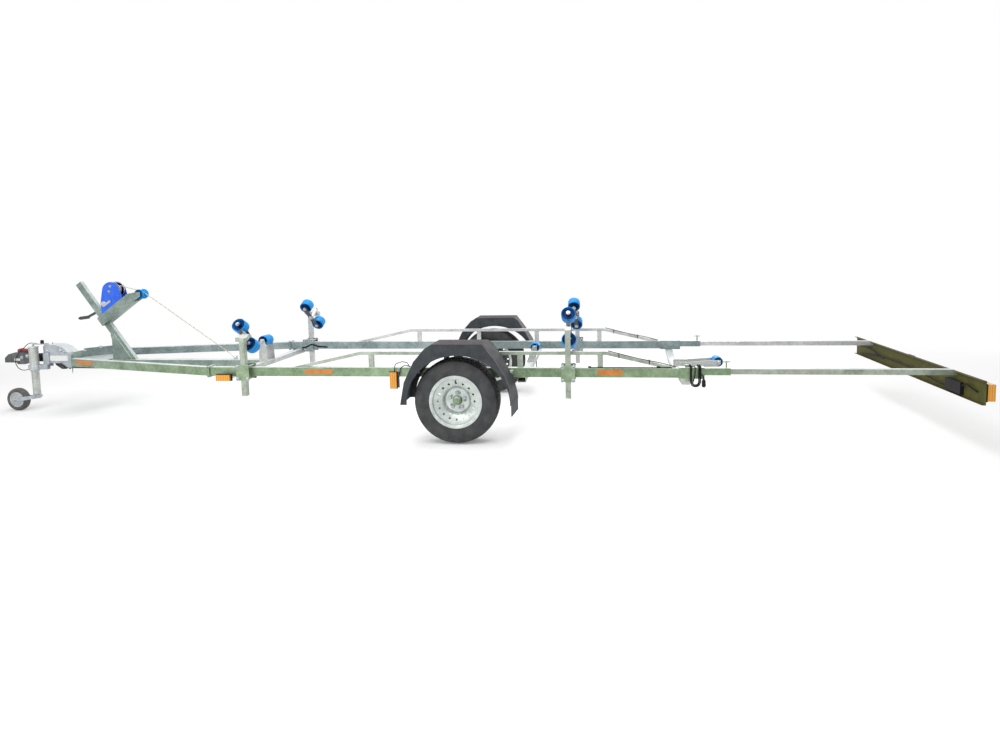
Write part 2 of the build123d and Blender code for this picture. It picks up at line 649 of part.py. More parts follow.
# ---- side posts and rocking pairs ----
def axle_line():
    """Unit direction of a left-hand roller axle, outboard end up."""
    tilt = math.radians(ROLLER_TILT)
    return Vector(math.cos(tilt), 0, math.sin(tilt))


def pair_point(station, height, along, ahead=0.0, angle=0.0):
    """A point on a left-hand pair: along its pivot line and out along its arm, forward end up."""
    lean, tilt = math.radians(angle), math.radians(ROLLER_TILT)
    arm = Vector(-math.sin(lean) * math.sin(tilt), -math.cos(lean), math.sin(lean) * math.cos(tilt))
    return Vector(PAIR_X, station, height) + axle_line() * along + arm * ahead


def post_top(height):
    """Top of a side post that carries a pair at this height."""
    return height + SLEEVE_LIFT


def side_post(side, post, station, height):
    """A square post beside the rail with its inclined pivot sleeve on an arm at the top."""
    half, wall = POST_SIZE / 2, POST_WALL
    low, top = RAIL_LOW - POST_BELOW_RAIL, post_top(height)
    body = block(POST_INNER, POST_OUTER, post - half, post + half, low, top)
    body -= block(POST_INNER + wall, POST_OUTER - wall, post - half + wall, post + half - wall, low - 1,
                  top - wall)
    front = min(post - half, station - SLEEVE_RADIUS)
    rear = max(post + half, station + SLEEVE_RADIUS)
    clear = ROLLER_WIDTH / 2 + ROLLER_END_GAP + 12
    corners = [pair_point(station, height, *place, 90) for place in
               ((clear, -8), (SLEEVE_REACH - 2, -SLEEVE_RADIUS + 2), (SLEEVE_REACH + 14,
                                                                      -SLEEVE_RADIUS - 10),
                (clear, -SLEEVE_RADIUS - 12))]
    outline = [(c.X, c.Z) for c in corners[:3]]
    outline += [(POST_INNER, top), (POST_INNER, top - SLEEVE_ARM), (corners[3].X, corners[3].Z)]
    body += front_profile(outline, front, rear)
    start = pair_point(station, height, -ROLLER_WIDTH / 2 - ROLLER_END_GAP - 6)
    body += rod(start, pair_point(station, height, SLEEVE_REACH), SLEEVE_RADIUS)
    body -= rod(pair_point(station, height, -SLEEVE_REACH), pair_point(station, height, SLEEVE_REACH + 60),
                PIVOT_RADIUS + RUNNING_GAP)
    return on_side(side, body)


def side_posts():
    return group(*[side_post(side, post, station, height) for _, side, post, station, height,
                   _ in SIDE_POSTS])


def post_clamps():
    """Outer plate, inner plate and four bolts round the rail for each side post."""
    half, high = CLAMP_LENGTH / 2, CLAMP_HEIGHT / 2
    clamps = []
    for _, side, post, _, _, _ in SIDE_POSTS:
        clamp = block(POST_OUTER, POST_OUTER + CLAMP_PLATE, post - half, post + half, RAIL_MIDDLE - high,
                      RAIL_MIDDLE + high)
        clamp += block(RAIL_INNER - CLAMP_PLATE, RAIL_INNER, post - half, post + half, RAIL_MIDDLE - high,
                       RAIL_MIDDLE + high)
        for y in (post - half + CLAMP_BOLT_EDGE, post + half - CLAMP_BOLT_EDGE):
            for z in (RAIL_MIDDLE - high + CLAMP_BOLT_EDGE, RAIL_MIDDLE + high - CLAMP_BOLT_EDGE):
                clamp += rod((RAIL_INNER - CLAMP_PLATE - 10, y, z), (POST_OUTER + CLAMP_PLATE + 12, y, z),
                             CLAMP_BOLT_RADIUS)
        clamps.append(on_side(side, clamp))
    return group(*clamps)


def rocker(side, station, height, angle):
    """The arm of a rocking pair: pivot pin, plate and two stub axles with nuts."""
    end = ROLLER_WIDTH / 2
    plate_out = end + ROLLER_END_GAP + 8
    reach = ROLLER_SPACING / 2

    def at(along, ahead=0.0):
        return pair_point(station, height, along, ahead, angle)

    body = rod(at(-plate_out), at(SLEEVE_REACH + 3), PIVOT_RADIUS)
    body += rod(at(SLEEVE_REACH + 2), at(SLEEVE_REACH + 10), SLEEVE_RADIUS - 2)
    for ahead in (reach, -reach):
        body += rod(at(-plate_out, ahead), at(end + 12, ahead), ROLLER_AXLE_RADIUS)
        body += rod(at(-plate_out, ahead), at(-end - ROLLER_END_GAP, ahead), ROLLER_AXLE_RADIUS + 5)
        body += rod(at(end + ROLLER_END_GAP, ahead), at(end + 11, ahead), ROLLER_AXLE_RADIUS + 5)
    origin = at(-plate_out - ROCKER_PLATE)
    arm = (at(0, 1) - at(0)).normalized()
    plane = Plane(origin=tuple(origin), x_dir=arm, z_dir=axle_line())
    circles = [Pos(ahead, 0) * Circle(radius) for ahead, radius in
               ((reach, ROCKER_END_RADIUS), (0, ROCKER_END_RADIUS), (-reach, ROCKER_END_RADIUS))]
    outline = make_hull([edge for circle in circles for edge in circle.edges()])
    body += extrude(plane * outline, amount=ROCKER_PLATE)
    return on_side(side, body)


def side_roller(side, station, height, angle, ahead):
    wheel = hollow_roller(ROLLER_DIAMETER, ROLLER_WIDTH, ROLLER_HUB_RADIUS,
                          ROLLER_AXLE_RADIUS + RUNNING_GAP)
    centre = pair_point(station, height, 0, ahead, angle)
    return on_side(side, Pos(*centre) * Rot(0, -ROLLER_TILT, 0) * wheel)


# ---- keel rollers ----
def keel_roller(place):
    station, height, diameter = place
    return Pos(0, station, height) * hollow_roller(diameter, KEEL_ROLLER_WIDTH, ROLLER_HUB_RADIUS,
                                                   KEEL_AXLE_RADIUS + RUNNING_GAP)


def keel_fork(place, outline, base):
    """Two cheeks beside a keel roller, its pin and a base plate."""
    station, height, _ = place
    gap = KEEL_ROLLER_WIDTH / 2 + KEEL_SIDE_GAP
    outer = gap + KEEL_PLATE
    y0, y1, z = base
    cheek = side_profile(outline, gap, outer)
    return (cheek + mirror(cheek, about=Plane.YZ) + rod((-outer - 8, station, height), (outer + 8, station,
                                                                                        height),
                                                        KEEL_AXLE_RADIUS)
            + block(-outer, outer, y0, y1, z, z + KEEL_PLATE))


def keel_brackets():
    r, half = KEEL_CHEEK, CROSS_LENGTH / 2
    y, z, _ = KEEL_FRONT
    y0, y1 = FRONT_CROSS - half, FRONT_CROSS + half + 15
    front = keel_fork(KEEL_FRONT, ((y0, RAIL_LOW), (y1, RAIL_LOW), (y1 - 6, z - 40), (y + r, z + r),
                                   (y - r, z + r),
                                   (y0 + 4, z - 40)), (y0, y1, RAIL_LOW))
    y, z, _ = KEEL_MIDDLE
    y0, y1 = MIDDLE_CROSS - half, MIDDLE_CROSS + half
    middle = keel_fork(KEEL_MIDDLE, ((y0, RAIL_LOW), (y1, RAIL_LOW), (y + r, z - r), (y + r, z + r),
                                     (y - r, z + r)),
                       (y0, y1, RAIL_LOW))
    y, z, _ = KEEL_REAR
    low = REAR_CROSS_LOW
    y0, y1 = REAR_CROSS - half, REAR_CROSS + half
    rear = keel_fork(KEEL_REAR, ((y0, low), (y1, low), (y - r, z - r - 20), (y + r, z - r), (y + r, z + r),
                                 (y - r, z + r),
                                 (y1 + 40, low + 62), (y0, low + 62)), (y0, y1, low))
    return group(front, middle, rear)


# ---- winch stand ----
def winch_lean():
    """Unit (station, height) direction up the winch post."""
    dy, dz = WINCH_POST_HEAD[0] - WINCH_POST_FOOT, WINCH_POST_HEAD[1] - CENTRE_BEAM_TOP
    return dy / math.hypot(dy, dz), dz / math.hypot(dy, dz)


def post_strip(half, below, above):
    """Outline of a strip along the winch post's line, this far past its foot and head."""
    uy, uz = winch_lean()
    y0, z0 = WINCH_POST_FOOT - uy * below, CENTRE_BEAM_TOP - uz * below
    y1, z1 = WINCH_POST_HEAD[0] + uy * above, WINCH_POST_HEAD[1] + uz * above
    side = (uz * half, -uy * half)
    return ((y0 + side[0], z0 + side[1]), (y1 + side[0], z1 + side[1]), (y1 - side[0], z1 - side[1]),
            (y0 - side[0], z0 - side[1]))


def winch_post():
    """The leaning rectangular post and the gusset plates at its foot."""
    side, half, wall = WINCH_POST_SIZE / 2, WINCH_POST_WIDTH / 2, WINCH_POST_WALL
    post = side_profile(post_strip(side, 90, 0), -half, half)
    post -= side_profile(post_strip(side - wall, 91, 1), wall - half, half - wall)
    post -= block(-half - 1, half + 1, WINCH_POST_FOOT - 300, WINCH_POST_FOOT + 300, 0, CENTRE_BEAM_TOP)
    y, z = WINCH_POST_FOOT, CENTRE_BEAM_TOP
    rise = GUSSET_TOP - z
    middle = y + rise * winch_lean()[0] / winch_lean()[1]
    front = y - GUSSET_FRONT
    outline = ((y, z), (middle, GUSSET_TOP), (middle - side / winch_lean()[1], GUSSET_TOP),
               (front, z + 0.8 * rise), (front, z))
    plate = side_profile(outline, half, half + GUSSET_PLATE)
    return post + plate + mirror(plate, about=Plane.YZ)


def channel_strip(low, high):
    """Outline between two heights above the winch channel's lower edge."""
    (y0, z0), (y1, z1) = CHANNEL_LOW, CHANNEL_HIGH
    length = math.hypot(y1 - y0, z1 - z0)
    ny, nz = -(z1 - z0) / length, (y1 - y0) / length
    return ((y0 + ny * low, z0 + nz * low), (y1 + ny * low, z1 + nz * low), (y1 + ny * high,
                                                                             z1 + nz * high),
            (y0 + ny * high, z0 + nz * high))


def winch_channel():
    """The channel across the post that carries the winch and, on its ears, the bow roller."""
    half, plate = CHANNEL_HALF, CHANNEL_PLATE
    y, z = BOW_ROLLER
    r = BOW_CHEEK
    y1, z1 = CHANNEL_HIGH
    top = channel_strip(0, CHANNEL_HEIGHT)[2]
    side = side_profile(channel_strip(0, CHANNEL_HEIGHT), half - plate, half)
    side += side_profile(((y1, z1), (y + r, z - r), (y + r, z + r), (y - r, z + r), top), half - plate,
                         half)
    body = side + mirror(side, about=Plane.YZ)
    body += side_profile(channel_strip(0, plate), plate - half, half - plate)
    body += rod((-half - 8, y, z), (half + 8, y, z), KEEL_AXLE_RADIUS)
    return body - side_profile(post_strip(WINCH_POST_SIZE / 2, 0, 40), -WINCH_POST_WIDTH / 2,
                               WINCH_POST_WIDTH / 2)


def bow_roller():
    half = CHANNEL_HALF - CHANNEL_PLATE - 3
    r, waist, bore = BOW_ROLLER_DIAMETER / 2, BOW_ROLLER_WAIST / 2, KEEL_AXLE_RADIUS + RUNNING_GAP
    outline = ((-half, bore), (-half, r - 4), (4 - half, r), (12 - half, r), (-8, waist), (8, waist),
               (half - 12, r),
               (half - 4, r), (half, r - 4), (half, bore))
    return Pos(0, *BOW_ROLLER) * turned(outline)


def winch_reel():
    """The winch: two pressed cheeks, the drum with its wound rope and the crank shaft's boss."""
    half, plate = WINCH_FRAME_HALF - 1, WINCH_FRAME_PLATE
    y, z = DRUM_CENTRE
    py, pz = PINION_CENTRE
    base = channel_strip(CHANNEL_PLATE + 6, CHANNEL_PLATE + 8)
    run_y, run_z = base[1][0] - base[0][0], base[1][1] - base[0][1]
    feet = [(base[0][0] + run_y * share, base[0][1] + run_z * share, 5) for share in WINCH_FOOT_SHARES]
    rounds = ((y, z, DRUM_FLANGE_RADIUS), (*GEAR_CENTRE, GEAR_RADIUS), (py, pz, PINION_RADIUS), *feet)
    cheek = round_plate(rounds, half - plate, half)
    reel = cheek + mirror(cheek, about=Plane.YZ)
    reel += rod((-half, y, z), (half, y, z), DRUM_PACK_RADIUS - 14)
    reel += rod((-DRUM_HALF, y, z), (DRUM_HALF, y, z), DRUM_PACK_RADIUS)
    for side in (1, -1):
        reel += rod((side * DRUM_HALF, y, z), (side * (DRUM_HALF + 4), y, z), DRUM_FLANGE_RADIUS - 4)
    reel += rod((-half - 12, py, pz), (-half, py, pz), CRANK_SHAFT_RADIUS + 10)
    return reel - rod((-half - 20, py, pz), (half + 1, py, pz), CRANK_SHAFT_RADIUS + RUNNING_GAP)


def winch_crank():
    """The crank on the far side of the winch: shaft, bent arm and grip."""
    shaft_end, inner, outer = WINCH_FRAME_HALF - 4, -CRANK_PLANE, -CRANK_PLANE - CRANK_PLATE
    crank = rod((shaft_end, *PINION_CENTRE), (outer - 8, *PINION_CENTRE), CRANK_SHAFT_RADIUS)
    crank += rod((-WINCH_FRAME_HALF - 14, *PINION_CENTRE), (inner, *PINION_CENTRE), CRANK_SHAFT_RADIUS + 4)
    for start, end in ((PINION_CENTRE, CRANK_ELBOW), (CRANK_ELBOW, CRANK_TIP)):
        crank += round_plate(((*start, CRANK_BAR / 2), (*end, CRANK_BAR / 2)), outer, inner)
    return crank + rod((outer, *CRANK_TIP), (outer - GRIP_LENGTH, *CRANK_TIP), GRIP_RADIUS)


def rope_points():
    """From the wound drum over the bow roller's waist to the hook."""
    start = (DRUM_CENTRE[0] + 6, DRUM_CENTRE[1] + DRUM_PACK_RADIUS + ROPE_RADIUS + ROPE_GAP)
    slope, half = math.radians(ROPE_CREST_ANGLE), ROPE_CREST_RUN / 2
    lift = BOW_ROLLER_WAIST / 2 + ROPE_RADIUS + ROPE_CREST
    crest = (BOW_ROLLER[0] + lift * math.sin(slope), BOW_ROLLER[1] + lift * math.cos(slope))
    before = (crest[0] - half * math.cos(slope), crest[1] + half * math.sin(slope))
    after = (crest[0] + half * math.cos(slope), crest[1] - half * math.sin(slope))
    eye = (EYE_STATION, CENTRE_BEAM_TOP + EYE_HEIGHT / 2)
    back = HOOK_LENGTH / math.hypot(eye[0] - after[0], eye[1] - after[1])
    end = (eye[0] + (after[0] - eye[0]) * back, eye[1] + (after[1] - eye[1]) * back)
    return [(0, *point) for point in (start, before, after, end)]


def winch_rope():
    return rounded_tube(rope_points(), ROPE_RADIUS)


def rope_hook():
    """The hook on the rope's end and the eye on the centre beam it holds."""
    eye = (0, EYE_STATION, CENTRE_BEAM_TOP + EYE_HEIGHT / 2)
    half = EYE_THICKNESS / 2
    plate = block(-half, half, EYE_STATION - EYE_HEIGHT / 2, EYE_STATION + EYE_HEIGHT / 2, CENTRE_BEAM_TOP,
                  CENTRE_BEAM_TOP + EYE_HEIGHT)
    return plate + rod(eye, rope_points()[-1], HOOK_RADIUS)


# ---- coupling and overrun unit ----
def coupling_head():
    """Pressed coupling body with a ball socket open below."""
    nose, rear, axis = COUPLING_NOSE, COUPLING_REAR, COUPLING_AXIS
    outline = ((nose, SOCKET_MOUTH), (nose, axis - 2), (nose + 40, axis + 34), (nose + 110, axis + 52),
               (nose + 150, axis + 56),
               (rear, axis + 44), (rear, axis - 40), (rear - 60, axis - 60), (nose + 130, axis - 60),
               (nose + 118, SOCKET_MOUTH))
    body = side_profile(outline, -COUPLING_HALF, COUPLING_HALF)
    y = nose + SOCKET_BACK
    body -= rod((0, y, SOCKET_MOUTH - 60), (0, y, SOCKET_CENTRE), SOCKET_RADIUS)
    return body - Pos(0, y, SOCKET_CENTRE) * Sphere(SOCKET_RADIUS)


def coupling_handle():
    top = COUPLING_AXIS + 56
    start, rear = COUPLING_NOSE + 110, COUPLING_REAR
    outline = ((start, top - 4), (start + 40, top), (rear, top - 12), (rear + 12, top + 8),
               (rear + 8, top + 18),
               (start + 30, top + 30), (start + 4, top + 20))
    return side_profile(outline, -HANDLE_HALF, HANDLE_HALF)


def overrun_unit():
    """The overrun housing on the nose plate, with the coupling's shaft."""
    front, rear, axis = UNIT_FRONT, NOSE_FRONT, COUPLING_AXIS
    outline = ((front, UNIT_FLOOR), (front, UNIT_TOP - 20), (front + 16, UNIT_TOP),
               (front + 124, UNIT_TOP - 4), (front + 196, UNIT_TOP - 30), (rear - 50, NOSE_TOP + 4),
               (rear, NOSE_TOP - 14), (rear, NOSE_LOW), (rear - 50, NOSE_LOW), (rear - 110, UNIT_FLOOR))
    body = side_profile(outline, -UNIT_HALF, UNIT_HALF)
    return body + rod((0, COUPLING_REAR, axis), (0, front, axis), SHAFT_RADIUS) + cable_lugs()


def overrun_bellows():
    """The ribbed rubber gaiter round the coupling's shaft."""
    front, rear = COUPLING_REAR + 40, UNIT_FRONT
    pitch = (rear - front) / BELLOWS_RIBS
    outline = [(front, SHAFT_RADIUS + 0.2)]
    for rib in range(BELLOWS_RIBS):
        y = front + rib * pitch
        outline += [(y, BELLOWS_RADIUS - 8), (y + pitch / 2, BELLOWS_RADIUS)]
    outline += [(rear, BELLOWS_RADIUS - 8), (rear, SHAFT_RADIUS + 0.2)]
    face = make_face(Polyline(*[(0, y, COUPLING_AXIS + r) for y, r in outline], close=True))
    return revolve(face, Axis((0, 0, COUPLING_AXIS), (0, 1, 0)))


# ---- breakaway cable: route as (x, station, height), from the upper lug round the coupling to the lower one ----
CABLE_ROUTE = (
    (42, -4059, 615), (42, -4102, 615), (43, -4148, 616), (47, -4192, 628), (51, -4236, 616),
    (53, -4272, 583), (53, -4308, 552), (53, -4342, 520), (53, -4368, 486), (53, -4377, 448),
    (53, -4368, 410), (52, -4342, 380), (50, -4303, 366), (47, -4262, 373), (42, -4222, 390),
    (35, -4184, 403), (27, -4145, 401), (25, -4107, 408), (24, -4073, 414), (24, -4043, 414),
)


def breakaway_cable():
    return rounded_tube(CABLE_ROUTE, CABLE_RADIUS)


def cable_lugs():
    """The two small lugs on the housing that the breakaway cable's ends go into."""
    half, (upper, lower) = CABLE_LUG / 2, (CABLE_ROUTE[0], CABLE_ROUTE[-1])
    x, y, z = upper
    lug = block(x - half, x + half, y, y + 26, z - half, z + half)
    x, y, z = lower
    return lug + block(x - half, x + half, y, y + 22, z - half, UNIT_FLOOR + half)


# ---- support wheel ----
def support_clamp():
    """The ring that holds the support tube and its bracket on the overrun unit."""
    ring = OUTER_TUBE_RADIUS + CLAMP_RING
    low, high = CLAMP_RING_LOW, CLAMP_RING_LOW + CLAMP_RING_HEIGHT
    x, y = SUPPORT_X, SUPPORT_STATION
    body = rod((x, y, low), (x, y, high), ring)
    body += block(UNIT_HALF, x, y, UNIT_FRONT + 60, low, high)
    body += block(UNIT_HALF, UNIT_HALF + 10, UNIT_FRONT, UNIT_FRONT + 60, low, high + 110)
    body -= rod((x, y, low - 1), (x, y, high + 1), OUTER_TUBE_RADIUS)
    return body - rod((x, y, high), (x, y, high + 200), OUTER_TUBE_RADIUS)


def support_tube():
    """The outer tube with its top crank."""
    x, y = SUPPORT_X, SUPPORT_STATION
    tube = rod((x, y, OUTER_TUBE_LOW), (x, y, OUTER_TUBE_TOP), OUTER_TUBE_RADIUS)
    tube -= rod((x, y, OUTER_TUBE_LOW - 1), (x, y, OUTER_TUBE_TOP - 8), LEG_RADIUS + LEG_GAP)
    crank = OUTER_TUBE_TOP + TOP_CRANK_RISE
    tube += rod((x, y, OUTER_TUBE_TOP - 1), (x, y, crank + 8), 9)
    tube += block(x - 9, x + 9, y, y + TOP_CRANK, crank, crank + 8)
    return tube + rod((x, y + TOP_CRANK - 10, crank + 4), (x, y + TOP_CRANK - 10, crank + 40), 12)


def support_leg():
    """The inner tube, with a plug at the bottom bored for the fork's swivel."""
    x, y = SUPPORT_X, SUPPORT_STATION
    leg = rod((x, y, LEG_LOW), (x, y, LEG_TOP), LEG_RADIUS)
    leg -= rod((x, y, LEG_LOW + SWIVEL_PLUG), (x, y, LEG_TOP + 1), LEG_RADIUS - LEG_WALL)
    return leg - rod((x, y, LEG_LOW - 1), (x, y, LEG_LOW + SWIVEL_PLUG + 1), SWIVEL_RADIUS + RUNNING_GAP)


def support_fork():
    """The swivelling fork: stem, crown and two long arms to the wheel's axle."""
    x, y, top = SUPPORT_X, SUPPORT_STATION, LEG_LOW - CROWN_GAP
    gap = SUPPORT_WHEEL_WIDTH / 2 + FORK_GAP
    mid = top - CROWN_HEIGHT / 2
    fork = rod((x, y, top - CROWN_HEIGHT), (x, y, top), LEG_RADIUS)
    fork += block(x - gap, x + gap, y - 30, y + 14, top - CROWN_HEIGHT, top)
    fork += rod((x, y, top - 1), (x, y, LEG_LOW + SWIVEL_PLUG + CROWN_GAP + 8), SWIVEL_RADIUS)
    fork += rod((x, y, LEG_LOW + SWIVEL_PLUG + CROWN_GAP), (x, y, LEG_LOW + SWIVEL_PLUG + CROWN_GAP + 8),
                SWIVEL_RADIUS + 8)
    wheel = (SUPPORT_WHEEL_STATION, SUPPORT_WHEEL_RADIUS)
    arm = round_plate(((*wheel, FORK_END_RADIUS), (y, mid, CROWN_HEIGHT / 2)), gap, gap + FORK_PLATE)
    for side in (1, -1):
        fork += Pos(x, 0, 0) * on_side(side, arm)
    axle = gap + FORK_PLATE + 6
    return fork + rod((x - axle, *wheel), (x + axle, *wheel), SUPPORT_AXLE_RADIUS)


def support_tyre():
    half, r, seat = SUPPORT_WHEEL_WIDTH / 2, SUPPORT_WHEEL_RADIUS, SUPPORT_RIM_DIAMETER / 2
    outline = ((-half + 4, seat), (-half, seat + 10), (-half, r - 14), (-half + 10, r - 2), (0, r),
               (half - 10, r - 2), (half, r - 14), (half, seat + 10), (half - 4, seat))
    return Pos(SUPPORT_X, SUPPORT_WHEEL_STATION, SUPPORT_WHEEL_RADIUS) * turned(outline)


def support_rim():
    half, seat = SUPPORT_WHEEL_WIDTH / 2, SUPPORT_RIM_DIAMETER / 2 - 0.3
    hub, bore = SUPPORT_AXLE_RADIUS + 12, SUPPORT_AXLE_RADIUS + RUNNING_GAP
    outline = ((-half, bore), (-half, hub), (-8, hub + 6), (-8, seat - 12), (4 - half, seat - 7),
               (4 - half, seat), (half - 4, seat), (half - 4, seat - 7), (8, seat - 12), (8, hub + 6),
               (half, hub), (half, bore))
    return Pos(SUPPORT_X, SUPPORT_WHEEL_STATION, SUPPORT_WHEEL_RADIUS) * turned(outline)


# ---- lighting board ----
def lighting_board():
    """The pressed board with its flanges, and the raised seat of the number plate."""
    low, wall = BOARD_TOP - BOARD_HEIGHT, BOARD_WALL
    board = block(-BOARD_HALF, BOARD_HALF, BOARD_STATION, BOARD_REAR, low, BOARD_TOP)
    board -= block(-BOARD_HALF - 1, BOARD_HALF + 1, BOARD_STATION - 1, BOARD_REAR - wall, low + wall,
                   BOARD_TOP - wall)
    return board + block(-PLATE_SEAT_HALF, PLATE_SEAT_HALF, BOARD_REAR, BOARD_REAR + PLATE_SEAT_RAISE,
                         PLATE_SEAT_TOP - PLATE_SEAT_HEIGHT, PLATE_SEAT_TOP)


def light_tubes():
    half, inner, z = LIGHT_TUBE / 2, LIGHT_TUBE / 2 - LIGHT_TUBE_WALL, LIGHT_TUBE_HEIGHT
    wall = BOARD_WALL
    rear = BOARD_REAR - wall
    tube = block(RAIL_CENTRE - half, RAIL_CENTRE + half, LIGHT_TUBE_FRONT, rear, z - half, z + half)
    tube -= block(RAIL_CENTRE - inner, RAIL_CENTRE + inner, LIGHT_TUBE_FRONT - 1, rear + 1, z - inner,
                  z + inner)
    tube -= block(0, BOARD_HALF, BOARD_STATION, BOARD_REAR, BOARD_TOP - wall, BOARD_TOP + LIGHT_TUBE)
    return both_sides(tube)


def board_lamps():
    """A lamp at each end of the board's rear face and the number plate's lamp at its middle."""
    middle, half = BOARD_TOP - BOARD_HEIGHT / 2, LAMP_HEIGHT / 2
    cluster = block(BOARD_HALF - LAMP_LENGTH, BOARD_HALF, BOARD_REAR, BOARD_REAR + LAMP_DEPTH,
                    middle - half, middle + half)
    plate_lamp = block(-PLATE_LAMP_HALF, PLATE_LAMP_HALF, BOARD_REAR, BOARD_REAR + PLATE_LAMP_DEPTH,
                       BOARD_TOP - PLATE_LAMP_HEIGHT - 4, BOARD_TOP - 4)
    return group(both_sides(cluster), plate_lamp)


# ---- lamp cable ----
def lamp_cable_hank():
    """The cable's folded turns, laid over the left rail with the longer side outside."""
    margin = WRAP_WALL + HANK_GAP
    inner, outer, top = RAIL_INNER - margin, RAIL_OUTER + margin, RAIL_TOP + margin
    thick = HANK_THICKNESS
    outline = ((outer, HANK_LOW), (outer + thick, HANK_LOW), (outer + thick, top + thick),
               (inner - thick, top + thick), (inner - thick, HANK_INNER_LOW), (inner, HANK_INNER_LOW),
               (inner, top), (outer, top))
    return front_profile(outline, HANK_FRONT, HANK_REAR)


def lamp_plug():
    """The round plug beside the hank, hanging from the cable's end."""
    y = HANK_REAR + PLUG_RADIUS
    return rod((PLUG_X, y, PLUG_TOP - PLUG_LENGTH), (PLUG_X, y, PLUG_TOP), PLUG_RADIUS)


# ---- side lamps and reflectors ----
def side_lamps():
    """Amber marker lamps ahead of the front posts and reflector lamps ahead of the guards, on brackets."""
    x, half = RAIL_OUTER + MARKER_OUT, MARKER_LENGTH / 2
    low = MARKER_CENTRE - MARKER_HEIGHT / 2
    lamps = []
    for _, side, post, _, _, _ in SIDE_POSTS[:2]:
        y = post - MARKER_AHEAD
        lamp = block(x, x + MARKER_DEPTH, y - half, y + half, low, low + MARKER_HEIGHT)
        lamp += block(RAIL_INNER, x, y - 12, y + 12, RAIL_LOW - 8, RAIL_LOW)
        lamps.append(on_side(side, lamp))
    x, y = RAIL_OUTER + REFLECTOR_BRACKET, REFLECTOR_STATION
    half, high = REFLECTOR_LENGTH / 2, REFLECTOR_HEIGHT / 2
    lens = block(x, x + REFLECTOR_DEPTH, y - half, y + half, REFLECTOR_CENTRE - high,
                 REFLECTOR_CENTRE + high)
    lens += block(RAIL_OUTER, x, y - half + 8, y + half + REFLECTOR_ARM, REFLECTOR_CENTRE - high + 8,
                  REFLECTOR_CENTRE + high)
    return group(*lamps, both_sides(lens))


PIECES = {
    "side_rails": side_rails,
    "drawbar_beams": drawbar_beams,
    "drawbar_head": drawbar_head,
    "centre_beam": centre_beam,
    "cross_members": cross_members,
    "rear_sleeves": rear_sleeves,
    "overbars": overbars,
    "axle_tube": axle_tube,
    "swing_arms": swing_arms,
    "mudguards": mudguards,
    "mudguard_lugs": mudguard_lugs,
    "side_posts": side_posts,
    "post_clamps": post_clamps,
    "keel_brackets": keel_brackets,
    "winch_post": winch_post,
    "winch_channel": winch_channel,
    "winch_reel": winch_reel,
    "winch_crank": winch_crank,
    "winch_rope": winch_rope,
    "rope_hook": rope_hook,
    "bow_roller": bow_roller,
    "coupling_head": coupling_head,
    "coupling_handle": coupling_handle,
    "overrun_unit": overrun_unit,
    "overrun_bellows": overrun_bellows,
    "breakaway_cable": breakaway_cable,
    "support_clamp": support_clamp,
    "support_tube": support_tube,
    "support_leg": support_leg,
    "support_fork": support_fork,
    "support_tyre": support_tyre,
    "support_rim": support_rim,
    "lighting_board": lighting_board,
    "light_tubes": light_tubes,
    "board_lamps": board_lamps,
    "lamp_cable_hank": lamp_cable_hank,
    "lamp_plug": lamp_plug,
    "side_lamps": side_lamps,
    "left_tyre": lambda: tyre(1),
    "right_tyre": lambda: tyre(-1),
    "left_rim": lambda: rim_on_hub(1),
    "right_rim": lambda: rim_on_hub(-1),
    "left_hub": lambda: hub(1),
    "right_hub": lambda: hub(-1),
    "keel_roller_front": lambda: keel_roller(KEEL_FRONT),
    "keel_roller_middle": lambda: keel_roller(KEEL_MIDDLE),
    "keel_roller_rear": lambda: keel_roller(KEEL_REAR),
}


def build():
    """Every piece by node name, moved so that the origin is under the middle of the trailer."""
    made = {name: make() for name, make in PIECES.items()}
    reach = ROLLER_SPACING / 2
    for name, side, _, station, height, angle in SIDE_POSTS:
        made[f"rocker_{name}"] = rocker(side, station, height, angle)
        made[f"roller_{name}_upper"] = side_roller(side, station, height, angle, reach)
        made[f"roller_{name}_lower"] = side_roller(side, station, height, angle, -reach)
    return {name: Pos(0, -MIDDLE_STATION, 0) * shape for name, shape in made.items()}


os.makedirs("parts", exist_ok=True)
for node, shape in build().items():
    export_step(shape, f"parts/{node}.step")
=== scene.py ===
"""Finishes and fine parts of a single-axle boat trailer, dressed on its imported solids.

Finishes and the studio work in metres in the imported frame: +X to the left side, +Y to the rear, +Z up.
Shapes are written in millimetres, as (across, station, height), with the station measured from the axle line.
"""

from __future__ import annotations

import json
import logging
import math
from dataclasses import dataclass
from enum import Enum
from typing import ClassVar, Iterable, Sequence

import bmesh
import bpy
from mathutils import Matrix, Vector

